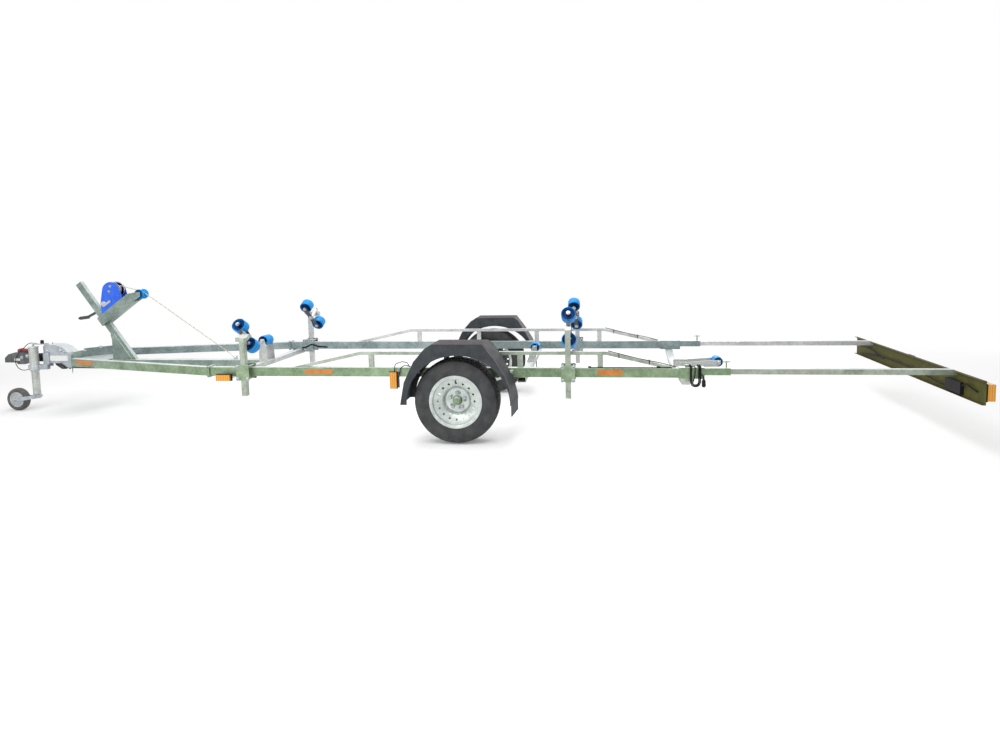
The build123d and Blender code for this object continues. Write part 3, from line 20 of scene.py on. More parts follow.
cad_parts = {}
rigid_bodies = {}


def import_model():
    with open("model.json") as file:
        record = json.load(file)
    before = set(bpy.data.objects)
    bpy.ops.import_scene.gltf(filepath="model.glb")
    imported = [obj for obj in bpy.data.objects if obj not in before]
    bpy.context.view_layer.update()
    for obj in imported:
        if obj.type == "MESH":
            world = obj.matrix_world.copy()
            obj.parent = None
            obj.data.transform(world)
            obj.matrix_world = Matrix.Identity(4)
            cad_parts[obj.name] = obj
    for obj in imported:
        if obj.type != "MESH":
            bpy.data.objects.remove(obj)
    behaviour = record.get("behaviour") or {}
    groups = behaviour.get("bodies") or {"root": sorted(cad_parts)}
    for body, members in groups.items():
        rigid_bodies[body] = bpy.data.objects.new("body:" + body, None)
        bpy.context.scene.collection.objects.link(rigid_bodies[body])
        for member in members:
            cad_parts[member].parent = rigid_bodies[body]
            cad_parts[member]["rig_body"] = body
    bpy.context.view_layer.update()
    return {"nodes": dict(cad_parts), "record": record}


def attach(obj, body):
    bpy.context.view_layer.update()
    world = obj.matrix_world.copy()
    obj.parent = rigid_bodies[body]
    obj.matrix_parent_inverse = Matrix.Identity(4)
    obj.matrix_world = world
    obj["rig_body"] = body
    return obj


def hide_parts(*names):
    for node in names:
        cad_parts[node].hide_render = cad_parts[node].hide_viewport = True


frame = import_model()
log = logging.getLogger("trailer")

Colour = tuple[float, float, float]
Point = tuple[float, float, float]
Place = tuple[float, float]
MM = 0.001
AXLE_STATION = 0.467
WHITE: Colour = (1.0, 1.0, 1.0)
BEVEL_ANGLE = math.radians(40.0)
FLAT_ANGLE = math.radians(0.6)


class Side(Enum):
    """Which side of the trailer a piece is on."""

    LEFT = 1
    RIGHT = -1


def at(point: Iterable[float]) -> Point:
    """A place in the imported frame.

    Args:
        point: The place in millimetres, with the station measured from the axle line.

    Returns:
        The place in metres.
    """
    x, station, height = point
    return (x * MM, station * MM + AXLE_STATION, height * MM)


# ---- node graphs ----
class Graph:
    """A shader node tree being wired."""

    def __init__(self, tree: bpy.types.NodeTree) -> None:
        """Start from an empty tree.

        Args:
            tree: The tree that takes the nodes.
        """
        self.tree = tree
        tree.nodes.clear()

    def add(self, kind: str, settings: dict[str, object] | None = None, **inputs: object) -> bpy.types.Node:
        """Add a node, set its properties and feed its inputs.

        Args:
            kind: Node type name without the ShaderNode prefix.
            settings: Properties of the node itself.
            **inputs: Socket name, with _ for a space, to a value or an output socket.

        Returns:
            The new node.
        """
        node = self.tree.nodes.new("ShaderNode" + kind)
        for key, value in (settings or {}).items():
            setattr(node, key, value)
        for key, value in inputs.items():
            self.feed(node, key.replace("_", " "), value)
        return node

    def feed(self, node: bpy.types.Node, name: str | int, value: object) -> None:
        """Set one input socket, or link an output to it.

        Args:
            node: The node that takes the value.
            name: Socket name or index.
            value: A number, a colour or an output socket.
        """
        socket = node.inputs[name]
        if isinstance(value, bpy.types.NodeSocket):
            self.tree.links.new(value, socket)
        elif isinstance(value, tuple) and len(value) == 3 and socket.type == "RGBA":
            socket.default_value = (*value, 1.0)
        else:
            socket.default_value = value

    def math(self, operation: str, first: object, second: object = 0.5,
             clamp: bool = False) -> bpy.types.NodeSocket:
        """Combine two values.

        Args:
            operation: Name of the math operation.
            first: The first value or socket.
            second: The second value or socket.
            clamp: Whether the result stays from 0 to 1.

        Returns:
            The result's socket.
        """
        node = self.add("Math", {"operation": operation, "use_clamp": clamp})
        self.feed(node, 0, first)
        self.feed(node, 1, second)
        return node.outputs[0]

    def mix(self, share: object, first: object, second: object) -> bpy.types.NodeSocket:
        """Blend two colours.

        Args:
            share: How much of the second shows, a value or a socket.
            first: The first colour.
            second: The second colour.

        Returns:
            The colour's socket.
        """
        node = self.add("Mix", {"data_type": "RGBA"})
        self.feed(node, 0, share)
        self.feed(node, 6, first)
        self.feed(node, 7, second)
        return node.outputs[2]

    def ramp(self, value: bpy.types.NodeSocket, low: object, high: object, out_low: float = 0.0,
             out_high: float = 1.0) -> bpy.types.NodeSocket:
        """Map a range of values to another, clamped.

        Args:
            value: The socket to map.
            low: Value or socket that gives out_low.
            high: Value or socket that gives out_high.
            out_low: Result at low.
            out_high: Result at high.

        Returns:
            The mapped socket.
        """
        node = self.add("MapRange", {"clamp": True})
        for index, number in enumerate((value, low, high, out_low, out_high)):
            self.feed(node, index, number)
        return node.outputs[0]


def new_group(name: str, inputs: Sequence[tuple[str, float]],
              outputs: Sequence[str]) -> tuple[Graph, bpy.types.Node, bpy.types.Node]:
    """Start a shader node group with number sockets.

    Args:
        name: The group's name.
        inputs: Socket names with their default values.
        outputs: Names of the value outputs.

    Returns:
        The group's graph, its input node and its output node.
    """
    tree = bpy.data.node_groups.new(name, "ShaderNodeTree")
    for label, value in inputs:
        socket = tree.interface.new_socket(label, in_out="INPUT", socket_type="NodeSocketFloat")
        socket.default_value = value
    for label in outputs:
        tree.interface.new_socket(label, in_out="OUTPUT", socket_type="NodeSocketFloat")
    graph = Graph(tree)
    return graph, tree.nodes.new("NodeGroupInput"), tree.nodes.new("NodeGroupOutput")


class Effects:
    """The surface effects that several finishes share, each a node group built once."""

    _built: ClassVar[dict[str, bpy.types.NodeTree]] = {}

    @classmethod
    def get(cls, name: str) -> bpy.types.NodeTree:
        """The named effect's group, built on first use.

        Args:
            name: Mottle, Dust, Grain or Speckle.

        Returns:
            The node group.
        """
        if name not in cls._built:
            cls._built[name] = getattr(cls, "_" + name.lower())()
        return cls._built[name]

    @staticmethod
    def _mottle() -> bpy.types.NodeTree:
        """Soft clouds broken by crystal cells, as on dipped zinc.

        Returns:
            The node group.
        """
        settings = (("Cloud Scale", 9.0), ("Cell Scale", 55.0), ("Cell Share", 0.4))
        graph, given, result = new_group("Mottle", settings, ("Mask",))
        place = graph.add("TexCoord").outputs["Object"]
        cloud = graph.add("TexNoise", Vector=place, Scale=given.outputs[0], Detail=5.0, Roughness=0.62)
        cells = graph.add("TexVoronoi", Vector=place, Scale=given.outputs[1], Randomness=1.0)
        tint = graph.add("SeparateColor", Color=cells.outputs["Color"])
        spread = graph.ramp(cloud.outputs["Fac"], 0.36, 0.66)
        share = given.outputs[2]
        kept = graph.math("MULTIPLY", spread, graph.math("SUBTRACT", 1.0, share))
        mask = graph.math("ADD", kept, graph.math("MULTIPLY", tint.outputs[0], share), clamp=True)
        graph.feed(result, 0, mask)
        return graph.tree

    @staticmethod
    def _dust() -> bpy.types.NodeTree:
        """More on faces that look up, broken by noise. It carries real dust on some finishes and painted
        light on others: a painted sky reflection on the zinc, a painted highlight on the rollers and a
        painted sheen on the guards.

        Returns:
            The node group.
        """
        graph, given, result = new_group("Dust", (("Scale", 14.0), ("Upward", 0.75)), ("Mask",))
        coords = graph.add("TexCoord")
        up = graph.add("SeparateXYZ", Vector=coords.outputs["Normal"]).outputs["Z"]
        noise = graph.add("TexNoise", Vector=coords.outputs["Object"], Scale=given.outputs[0], Detail=4.0,
                          Roughness=0.6)
        facing = graph.ramp(up, 0.25, 0.95)
        lift = graph.math("MULTIPLY", facing, given.outputs[1])
        patches = graph.ramp(noise.outputs["Fac"], 0.3, 0.62, 0.55, 1.0)
        graph.feed(result, 0, graph.math("MULTIPLY", lift, patches, clamp=True))
        return graph.tree

    @staticmethod
    def _grain() -> bpy.types.NodeTree:
        """A fine leathery height, as moulded plastic and rubber have.

        Returns:
            The node group.
        """
        settings = (("Scale", 420.0), ("Blotch Scale", 22.0))
        graph, given, result = new_group("Grain", settings, ("Height", "Blotch"))
        place = graph.add("TexCoord").outputs["Object"]
        fine = graph.add("TexNoise", Vector=place, Scale=given.outputs[0], Detail=3.0, Roughness=0.55)
        blotch = graph.add("TexNoise", Vector=place, Scale=given.outputs[1], Detail=4.0, Roughness=0.6)
        graph.feed(result, 0, fine.outputs["Fac"])
        graph.feed(result, 1, graph.ramp(blotch.outputs["Fac"], 0.35, 0.65))
        return graph.tree

    @staticmethod
    def _speckle() -> bpy.types.NodeTree:
        """Sparse chips and specks.

        Returns:
            The node group.
        """
        graph, given, result = new_group("Speckle", (("Scale", 160.0), ("Amount", 0.35)), ("Mask",))
        place = graph.add("TexCoord").outputs["Object"]
        noise = graph.add("TexNoise", Vector=place, Scale=given.outputs[0], Detail=2.0, Roughness=0.5)
        low = graph.math("SUBTRACT", 0.78, graph.math("MULTIPLY", given.outputs[1], 0.3))
        graph.feed(result, 0, graph.ramp(noise.outputs["Fac"], low, graph.math("ADD", low, 0.05)))
        return graph.tree


def seen_rays(graph: Graph) -> bpy.types.NodeSocket:
    """Whether a ray comes from the eye, straight, by a mirror or through glass.

    Args:
        graph: The graph that takes the test.

    Returns:
        A socket that is 1 for those rays and 0 for the rest.
    """
    path = graph.add("LightPath")
    seen = graph.math("MAXIMUM", path.outputs["Is Camera Ray"], path.outputs["Is Glossy Ray"])
    return graph.math("MAXIMUM", seen, path.outputs["Is Transmission Ray"])


def blend(graph: Graph, share: object, first: bpy.types.Node, second: bpy.types.Node,
          output: bpy.types.Node) -> None:
    """Blend two shaders into an output.

    Args:
        graph: The graph that holds them.
        share: How much of the second shows, a value or a socket.
        first: The first shader's node.
        second: The second shader's node.
        output: The node that takes the result.
    """
    mixed = graph.add("MixShader")
    for index, value in enumerate((share, first.outputs[0], second.outputs[0])):
        graph.feed(mixed, index, value)
    graph.feed(output, "Surface", mixed.outputs[0])


def place_effect(graph: Graph, name: str, **inputs: float) -> bpy.types.Node:
    """Put a shared effect in a material.

    Args:
        graph: The material's graph.
        name: The effect's name.
        **inputs: Its settings, with _ for a space.

    Returns:
        The group node.
    """
    node = graph.tree.nodes.new("ShaderNodeGroup")
    node.node_tree = Effects.get(name)
    for key, value in inputs.items():
        graph.feed(node, key.replace("_", " "), value)
    return node


# ---- finishes ----
_MATERIALS: dict[str, bpy.types.Material] = {}


class Finish:
    """A surface finish that makes its material once."""

    name: str

    def material(self) -> bpy.types.Material:
        """The finish's material, built on first use."""
        if self.name not in _MATERIALS:
            made = bpy.data.materials.new(self.name)
            made.use_nodes = True
            graph = Graph(made.node_tree)
            graph.feed(graph.add("OutputMaterial"), "Surface", self.surface(graph))
            _MATERIALS[self.name] = made
        return _MATERIALS[self.name]

    def surface(self, graph: Graph) -> bpy.types.NodeSocket:
        """Wire the shader.

        Args:
            graph: The material's graph.

        Returns:
            The shader's output socket.
        """
        raise NotImplementedError


@dataclass(frozen=True)
class Zinc(Finish):
    """Hot-dip galvanised steel, mottled and dull, with painted reflections: a green painted grass reflection
    on the left side, a cooler painted sky reflection towards the right side and a pale painted sky reflection
    on faces that look up.
    """

    name: str
    # The first two tones are the left side's mottle, green as a painted grass reflection; the next two are a
    # cooler painted sky reflection towards the right side; the pale colour after them is a painted sky
    # reflection on faces that look up; fade gives where across the trailer the one blends into the other.
    shade: Colour = (0.13, 0.195, 0.102)
    bright: Colour = (0.31, 0.415, 0.27)
    sky_reflection_shade: Colour = (0.14, 0.19, 0.195)
    sky_reflection_bright: Colour = (0.33, 0.39, 0.39)
    painted_sky_reflection: Colour = (0.86, 0.89, 0.90)
    fade: Place = (0.62, -0.2)
    roughness: float = 0.42
    metallic: float = 0.55
    cell_scale: float = 60.0

    def surface(self, graph: Graph) -> bpy.types.NodeSocket:
        """Wire the zinc.

        Args:
            graph: The material's graph.

        Returns:
            The shader's output socket.
        """
        mottle = place_effect(graph, "Mottle", Cloud_Scale=7.0, Cell_Scale=self.cell_scale,
                              Cell_Share=0.35).outputs[0]
        # The upward mask here lays the pale painted sky reflection on faces that look up.
        dust = place_effect(graph, "Dust", Scale=16.0, Upward=0.8).outputs[0]
        # Across the trailer, the left side's green painted grass reflection gives way to the right side's
        # cooler painted sky reflection.
        across = graph.add("SeparateXYZ", Vector=graph.add("TexCoord").outputs["Object"]).outputs["X"]
        away = graph.ramp(across, *self.fade)
        shade = graph.mix(away, self.shade, self.sky_reflection_shade)
        bright = graph.mix(away, self.bright, self.sky_reflection_bright)
        colour = graph.mix(dust, graph.mix(mottle, shade, bright), self.painted_sky_reflection)
        rough = graph.ramp(mottle, 0.0, 1.0, self.roughness + 0.12, self.roughness - 0.08)
        bump = graph.add("Bump", Strength=0.12, Distance=0.002, Height=mottle)
        return graph.add("BsdfPrincipled", Base_Color=colour, Metallic=self.metallic, Roughness=rough,
                         Normal=bump.outputs[0]).outputs[0]


@dataclass(frozen=True)
class Paint(Finish):
    """Smooth paint or passivated metal with small chips."""

    name: str
    base: Colour
    second: Colour
    chip: Colour = (0.35, 0.36, 0.36)
    roughness: float = 0.32
    metallic: float = 0.0
    chips: float = 0.2

    def surface(self, graph: Graph) -> bpy.types.NodeSocket:
        """Wire the paint.

        Args:
            graph: The material's graph.

        Returns:
            The shader's output socket.
        """
        grain = place_effect(graph, "Grain", Scale=260.0, Blotch_Scale=18.0)
        specks = place_effect(graph, "Speckle", Scale=190.0, Amount=self.chips).outputs[0]
        body = graph.mix(grain.outputs["Blotch"], self.base, self.second)
        colour = graph.mix(specks, body, self.chip)
        rough = graph.ramp(grain.outputs["Blotch"], 0.0, 1.0, self.roughness - 0.05, self.roughness + 0.08)
        bump = graph.add("Bump", Strength=0.08, Distance=0.001, Height=grain.outputs["Height"])
        return graph.add("BsdfPrincipled", Base_Color=colour, Metallic=self.metallic, Roughness=rough,
                         Normal=bump.outputs[0], Coat_Weight=0.3).outputs[0]


@dataclass(frozen=True)
class Moulded(Finish):
    """Moulded rubber or plastic with a leathery grain and another colour on faces that look up: real dust on
    the tyres, black rubber, board and cables, a painted highlight on the rollers and the guards' raised edges
    and a painted sheen on the guards.
    """

    name: str
    base: Colour
    second: Colour
    dust: Colour
    roughness: float = 0.6
    dust_and_sheen_share: float = 0.3
    bump: float = 0.25
    shine: float = 0.2

    def surface(self, graph: Graph) -> bpy.types.NodeSocket:
        """Wire the moulding.

        Args:
            graph: The material's graph.

        Returns:
            The shader's output socket.
        """
        grain = place_effect(graph, "Grain", Scale=420.0, Blotch_Scale=16.0)
        # Faces that look up take the top colour: real dust on some finishes, painted light on the rollers and
        # the guards.
        dust = place_effect(graph, "Dust", Scale=20.0, Upward=self.dust_and_sheen_share).outputs[0]
        body = graph.mix(grain.outputs["Blotch"], self.base, self.second)
        colour = graph.mix(dust, body, self.dust)
        rough = graph.ramp(grain.outputs["Blotch"], 0.0, 1.0, self.roughness - 0.07, self.roughness + 0.07)
        bump = graph.add("Bump", Strength=self.bump, Distance=0.001, Height=grain.outputs["Height"])
        return graph.add("BsdfPrincipled", Base_Color=colour, Roughness=rough, Normal=bump.outputs[0],
                         Specular_IOR_Level=self.shine).outputs[0]


@dataclass(frozen=True)
class Lens(Finish):
    """Coloured lamp plastic with fine flutes."""

    name: str
    base: Colour
    deep: Colour

    def surface(self, graph: Graph) -> bpy.types.NodeSocket:
        """Wire the lens.

        Args:
            graph: The material's graph.

        Returns:
            The shader's output socket.
        """
        place = graph.add("TexCoord").outputs["Object"]
        flutes = graph.add("TexWave", {"bands_direction": "Y"}, Vector=place, Scale=21.0)
        colour = graph.mix(flutes.outputs["Fac"], self.deep, self.base)
        bump = graph.add("Bump", Strength=0.35, Distance=0.001, Height=flutes.outputs["Fac"])
        return graph.add("BsdfPrincipled", Base_Color=colour, Roughness=0.18, Normal=bump.outputs[0],
                         Coat_Weight=0.5).outputs[0]


@dataclass(frozen=True)
class Braid(Finish):
    """Twisted rope fibre."""

    name: str
    base: Colour
    deep: Colour

    def surface(self, graph: Graph) -> bpy.types.NodeSocket:
        """Wire the braid.

        Args:
            graph: The material's graph.

        Returns:
            The shader's output socket.
        """
        place = graph.add("TexCoord").outputs["Object"]
        twist = graph.add("TexWave", {"bands_direction": "DIAGONAL"}, Vector=place, Scale=55.0,
                          Distortion=0.6)
        colour = graph.mix(twist.outputs["Fac"], self.deep, self.base)
        bump = graph.add("Bump", Strength=0.6, Distance=0.001, Height=twist.outputs["Fac"])
        return graph.add("BsdfPrincipled", Base_Color=colour, Roughness=0.8,
                         Normal=bump.outputs[0]).outputs[0]


# The zinc finishes carry painted reflections: a cooler sky reflection towards the right side and a pale sky
# reflection on faces that look up, and on the galvanised and pale zinc a green grass reflection on the left
# side.
ZINC = Zinc("galvanised_steel")
ZINC_PALE = Zinc("pale_zinc", shade=(0.24, 0.28, 0.22), bright=(0.46, 0.51, 0.44),
                 sky_reflection_shade=(0.36, 0.37, 0.37), sky_reflection_bright=(0.62, 0.62, 0.62))
ZINC_BRIGHT = Zinc("bright_zinc", shade=(0.26, 0.29, 0.31), bright=(0.55, 0.58, 0.62),
                   sky_reflection_shade=(0.3, 0.34, 0.38), sky_reflection_bright=(0.58, 0.62, 0.66), roughness=0.3, metallic=0.75,
                   cell_scale=90.0)
BLACK_STEEL = Paint("black_steel", (0.022, 0.024, 0.03), (0.04, 0.042, 0.05), roughness=0.42)
WINCH_BLUE = Paint("winch_blue", (0.003, 0.085, 0.62), (0.006, 0.13, 0.80), roughness=0.28, chips=0.05)
WHEEL_SILVER = Paint("wheel_silver", (0.42, 0.46, 0.44), (0.58, 0.63, 0.60), chip=(0.2, 0.2, 0.2),
                     metallic=0.6, roughness=0.34, chips=0.1)
COUPLING_GREY = Paint("coupling_grey", (0.07, 0.075, 0.08), (0.14, 0.15, 0.155), metallic=0.5, roughness=0.4)
HANDLE_RED = Paint("handle_red", (0.22, 0.015, 0.02), (0.30, 0.02, 0.03), roughness=0.4)
RIM_WHITE = Paint("support_rim_white", (0.42, 0.45, 0.47), (0.6, 0.63, 0.64), chip=(0.3, 0.28, 0.26),
                  roughness=0.45)
STICKER = Paint("blank_sticker", (0.46, 0.14, 0.012), (0.58, 0.20, 0.022), chip=(0.2, 0.05, 0.02),
                roughness=0.4, chips=0.15)
LABEL = Paint("blank_label", (0.70, 0.71, 0.71), (0.80, 0.80, 0.80), chip=(0.4, 0.4, 0.4), roughness=0.4,
              chips=0.1)
# The rollers' lighter blue on faces that look up is a painted highlight.
ROLLER_BLUE = Moulded("roller_blue", (0.001, 0.19, 0.56), (0.002, 0.27, 0.70), (0.01, 0.42, 0.78),
                      roughness=0.4, bump=0.1)
# Dark navy painted shade for the rollers' hollow ends, with a slightly lighter painted highlight on faces
# that look up.
ROLLER_END_SHADE = Moulded("roller_navy", (0.001, 0.022, 0.09), (0.002, 0.05, 0.19), (0.004, 0.05, 0.2),
                      roughness=0.5, dust_and_sheen_share=0.1, bump=0.1)
BLACK_RUBBER = Moulded("black_rubber", (0.008, 0.008, 0.009), (0.016, 0.016, 0.017), (0.05, 0.05, 0.05))
TYRE_RUBBER = Moulded("tyre_rubber", (0.030, 0.032, 0.034), (0.062, 0.063, 0.063), (0.07, 0.068, 0.06),
                      roughness=0.62, dust_and_sheen_share=0.2, shine=0.3)
SMALL_TYRE = Moulded("support_tyre_rubber", (0.085, 0.08, 0.075), (0.16, 0.15, 0.14), (0.25, 0.24, 0.22),
                     roughness=0.7)
# The guards' darker, redder colour on faces that look up is a painted sheen.
GUARD_PLASTIC = Moulded("guard_plastic", (0.032, 0.037, 0.042), (0.052, 0.058, 0.064), (0.030, 0.018, 0.022),
                        roughness=0.55, dust_and_sheen_share=0.95, bump=0.3)
# The guards' raised edges are pale as a painted highlight, lighter again on faces that look up.
GUARD_EDGE_HIGHLIGHT = Moulded("guard_edge", (0.10, 0.09, 0.10), (0.16, 0.15, 0.16), (0.2, 0.18, 0.19), roughness=0.5)
BOARD_OLIVE = Moulded("board_olive", (0.058, 0.060, 0.010), (0.092, 0.088, 0.024), (0.09, 0.055, 0.045),
                      roughness=0.5, dust_and_sheen_share=0.7, shine=0.08)
CABLE_SHEATH = Moulded("cable_sheath", (0.008, 0.008, 0.009), (0.016, 0.016, 0.018), (0.05, 0.05, 0.05),
                       roughness=0.55, dust_and_sheen_share=0.1, bump=0.1, shine=0.1)
AMBER = Lens("amber_lens", (0.84, 0.37, 0.0), (0.62, 0.22, 0.0))
RED = Lens("red_lens", (0.62, 0.02, 0.015), (0.35, 0.01, 0.01))
CLEAR = Lens("clear_lens", (0.80, 0.80, 0.78), (0.55, 0.56, 0.56))
ROPE = Braid("rope_fibre", (0.62, 0.60, 0.50), (0.36, 0.34, 0.27))

FINISH_OF_SLOT: dict[str, Finish] = {
    "zinc_steel": ZINC,
    "dark_steel": BLACK_STEEL,
    "blue_paint": WINCH_BLUE,
    "blue_rubber": ROLLER_BLUE,
    "black_rubber": BLACK_RUBBER,
    "tyre_rubber": TYRE_RUBBER,
    "silver_paint": WHEEL_SILVER,
    "black_plastic": GUARD_PLASTIC,
    "olive_board": BOARD_OLIVE,
    "red_lens": RED,
    "amber_lens": AMBER,
    "rope_fibre": ROPE,
    "cable_sheath": CABLE_SHEATH,
}


# ---- camera, floor and lamps ----
@dataclass(frozen=True)
class Lamp:
    """A soft rectangular lamp, in metres."""

    name: str
    place: Point
    target: Point
    size: Place
    power: float

    def hang(self) -> None:
        """Add the lamp to the scene."""
        data = bpy.data.lights.new(self.name, "AREA")
        data.shape = "RECTANGLE"
        data.size_y, data.size = self.size
        data.energy = self.power
        lamp = bpy.data.objects.new(self.name, data)
        lamp.location = self.place
        lamp.rotation_euler = (Vector(self.target) - Vector(self.place)).to_track_quat("-Z", "Y").to_euler()
        bpy.context.scene.collection.objects.link(lamp)


@dataclass
class Studio:
    """Camera, pale floor and soft lamps."""

    eye: Point = (5.1497, 1.0215 + AXLE_STATION, 1.4132)
    yaw: float = -6.308
    pitch: float = 4.868
    roll: float = -1.096
    focal_pixels: float = 612.8
    picture: tuple[int, int] = (1000, 750)
    principal: Place = (529.1, 300.4)
    sensor: float = 36.0
    floor_half: float = 60.0
    floor_shade: float = 0.86
    fade: Place = (2.1, 4.4)
    floor_squeeze: Point = (1.0, 0.45, 0.0)
    floor_lift: float = 0.14
    soft_strength: float = 0.55
    lamps: tuple[Lamp, ...] = (
        Lamp("sky_lamp", (0.6, 0.0, 5.2), (0.0, 0.0, 0.0), (9.0, 5.0), 330.0),
        Lamp("side_lamp", (6.5, -3.0, 3.2), (0.0, 0.0, 0.4), (6.0, 3.0), 150.0),
        Lamp("back_lamp", (-6.0, 3.0, 3.4), (0.0, 0.0, 0.4), (7.0, 3.0), 110.0),
    )

    def place_camera(self) -> None:
        """Set the camera at its measured place."""
        yaw, pitch, roll = (math.radians(angle) for angle in (self.yaw, self.pitch, self.roll))
        ahead = Vector((-math.cos(yaw) * math.cos(pitch), math.sin(yaw) * math.cos(pitch), -math.sin(pitch)))
        right = Vector((math.sin(yaw), math.cos(yaw), 0.0))
        up = right.cross(ahead)
        across = right * math.cos(roll) + up * math.sin(roll)
        above = up * math.cos(roll) - right * math.sin(roll)
        data = bpy.data.cameras.new("camera")
        width, height = self.picture
        data.sensor_width = self.sensor
        data.lens = self.focal_pixels * self.sensor / width
        data.shift_x = 0.5 - self.principal[0] / width
        data.shift_y = (self.principal[1] - height / 2) / width
        camera = bpy.data.objects.new("camera", data)
        bpy.context.scene.collection.objects.link(camera)
        turn = Matrix((across, above, -ahead)).transposed().to_4x4()
        camera.matrix_world = Matrix.Translation(self.eye) @ turn
        bpy.context.scene.camera = camera

    def floor_surface(self) -> bpy.types.Material:
        """The floor's material: pale and matt, white to the eye far from the trailer.

        Returns:
            The material.
        """
        material = bpy.data.materials.new("floor")
        material.use_nodes = True
        graph = Graph(material.node_tree)
        output = graph.add("OutputMaterial")
        matt = graph.add("BsdfDiffuse", Color=(self.floor_shade,) * 3)
        white = graph.add("Emission", Color=WHITE, Strength=1.0)
        squeezed = graph.add("VectorMath", {"operation": "MULTIPLY"})
        graph.feed(squeezed, 0, graph.add("TexCoord").outputs["Object"])
        graph.feed(squeezed, 1, self.floor_squeeze)
        distance = graph.add("VectorMath", {"operation": "LENGTH"})
        graph.feed(distance, 0, squeezed.outputs[0])
        far = graph.ramp(distance.outputs["Value"], *self.fade)
        seen = seen_rays(graph)
        lifted = graph.add("AddShader")
        glow = graph.add("Emission", Color=WHITE, Strength=graph.math("MULTIPLY", seen, self.floor_lift))
        graph.feed(lifted, 0, matt.outputs[0])
        graph.feed(lifted, 1, glow.outputs[0])
        blend(graph, graph.math("MULTIPLY", far, seen), lifted, white, output)
        return material

    def lay_floor(self) -> None:
        """Lay the floor under the trailer."""
        mesh = bpy.data.meshes.new("floor")
        half = self.floor_half
        corners = [(-half, -half, 0), (half, -half, 0), (half, half, 0), (-half, half, 0)]
        mesh.from_pydata(corners, [], [(0, 1, 2, 3)])
        mesh.materials.append(self.floor_surface())
        floor = bpy.data.objects.new("floor", mesh)
        bpy.context.scene.collection.objects.link(floor)

    def surround(self) -> None:
        """Set surroundings that are white to the eye and softer as light."""
        world = bpy.data.worlds.new("surroundings")
        world.use_nodes = True
        bpy.context.scene.world = world
        graph = Graph(world.node_tree)
        output = graph.add("OutputWorld")
        soft = graph.add("Background", Color=WHITE, Strength=self.soft_strength)
        white = graph.add("Background", Color=WHITE, Strength=1.0)
        blend(graph, seen_rays(graph), soft, white, output)

    def build(self) -> None:
        """Set up camera, floor and lamps."""
        self.place_camera()
        self.lay_floor()
        for lamp in self.lamps:
            lamp.hang()
        self.surround()
        bpy.context.scene.view_settings.view_transform = "Standard"


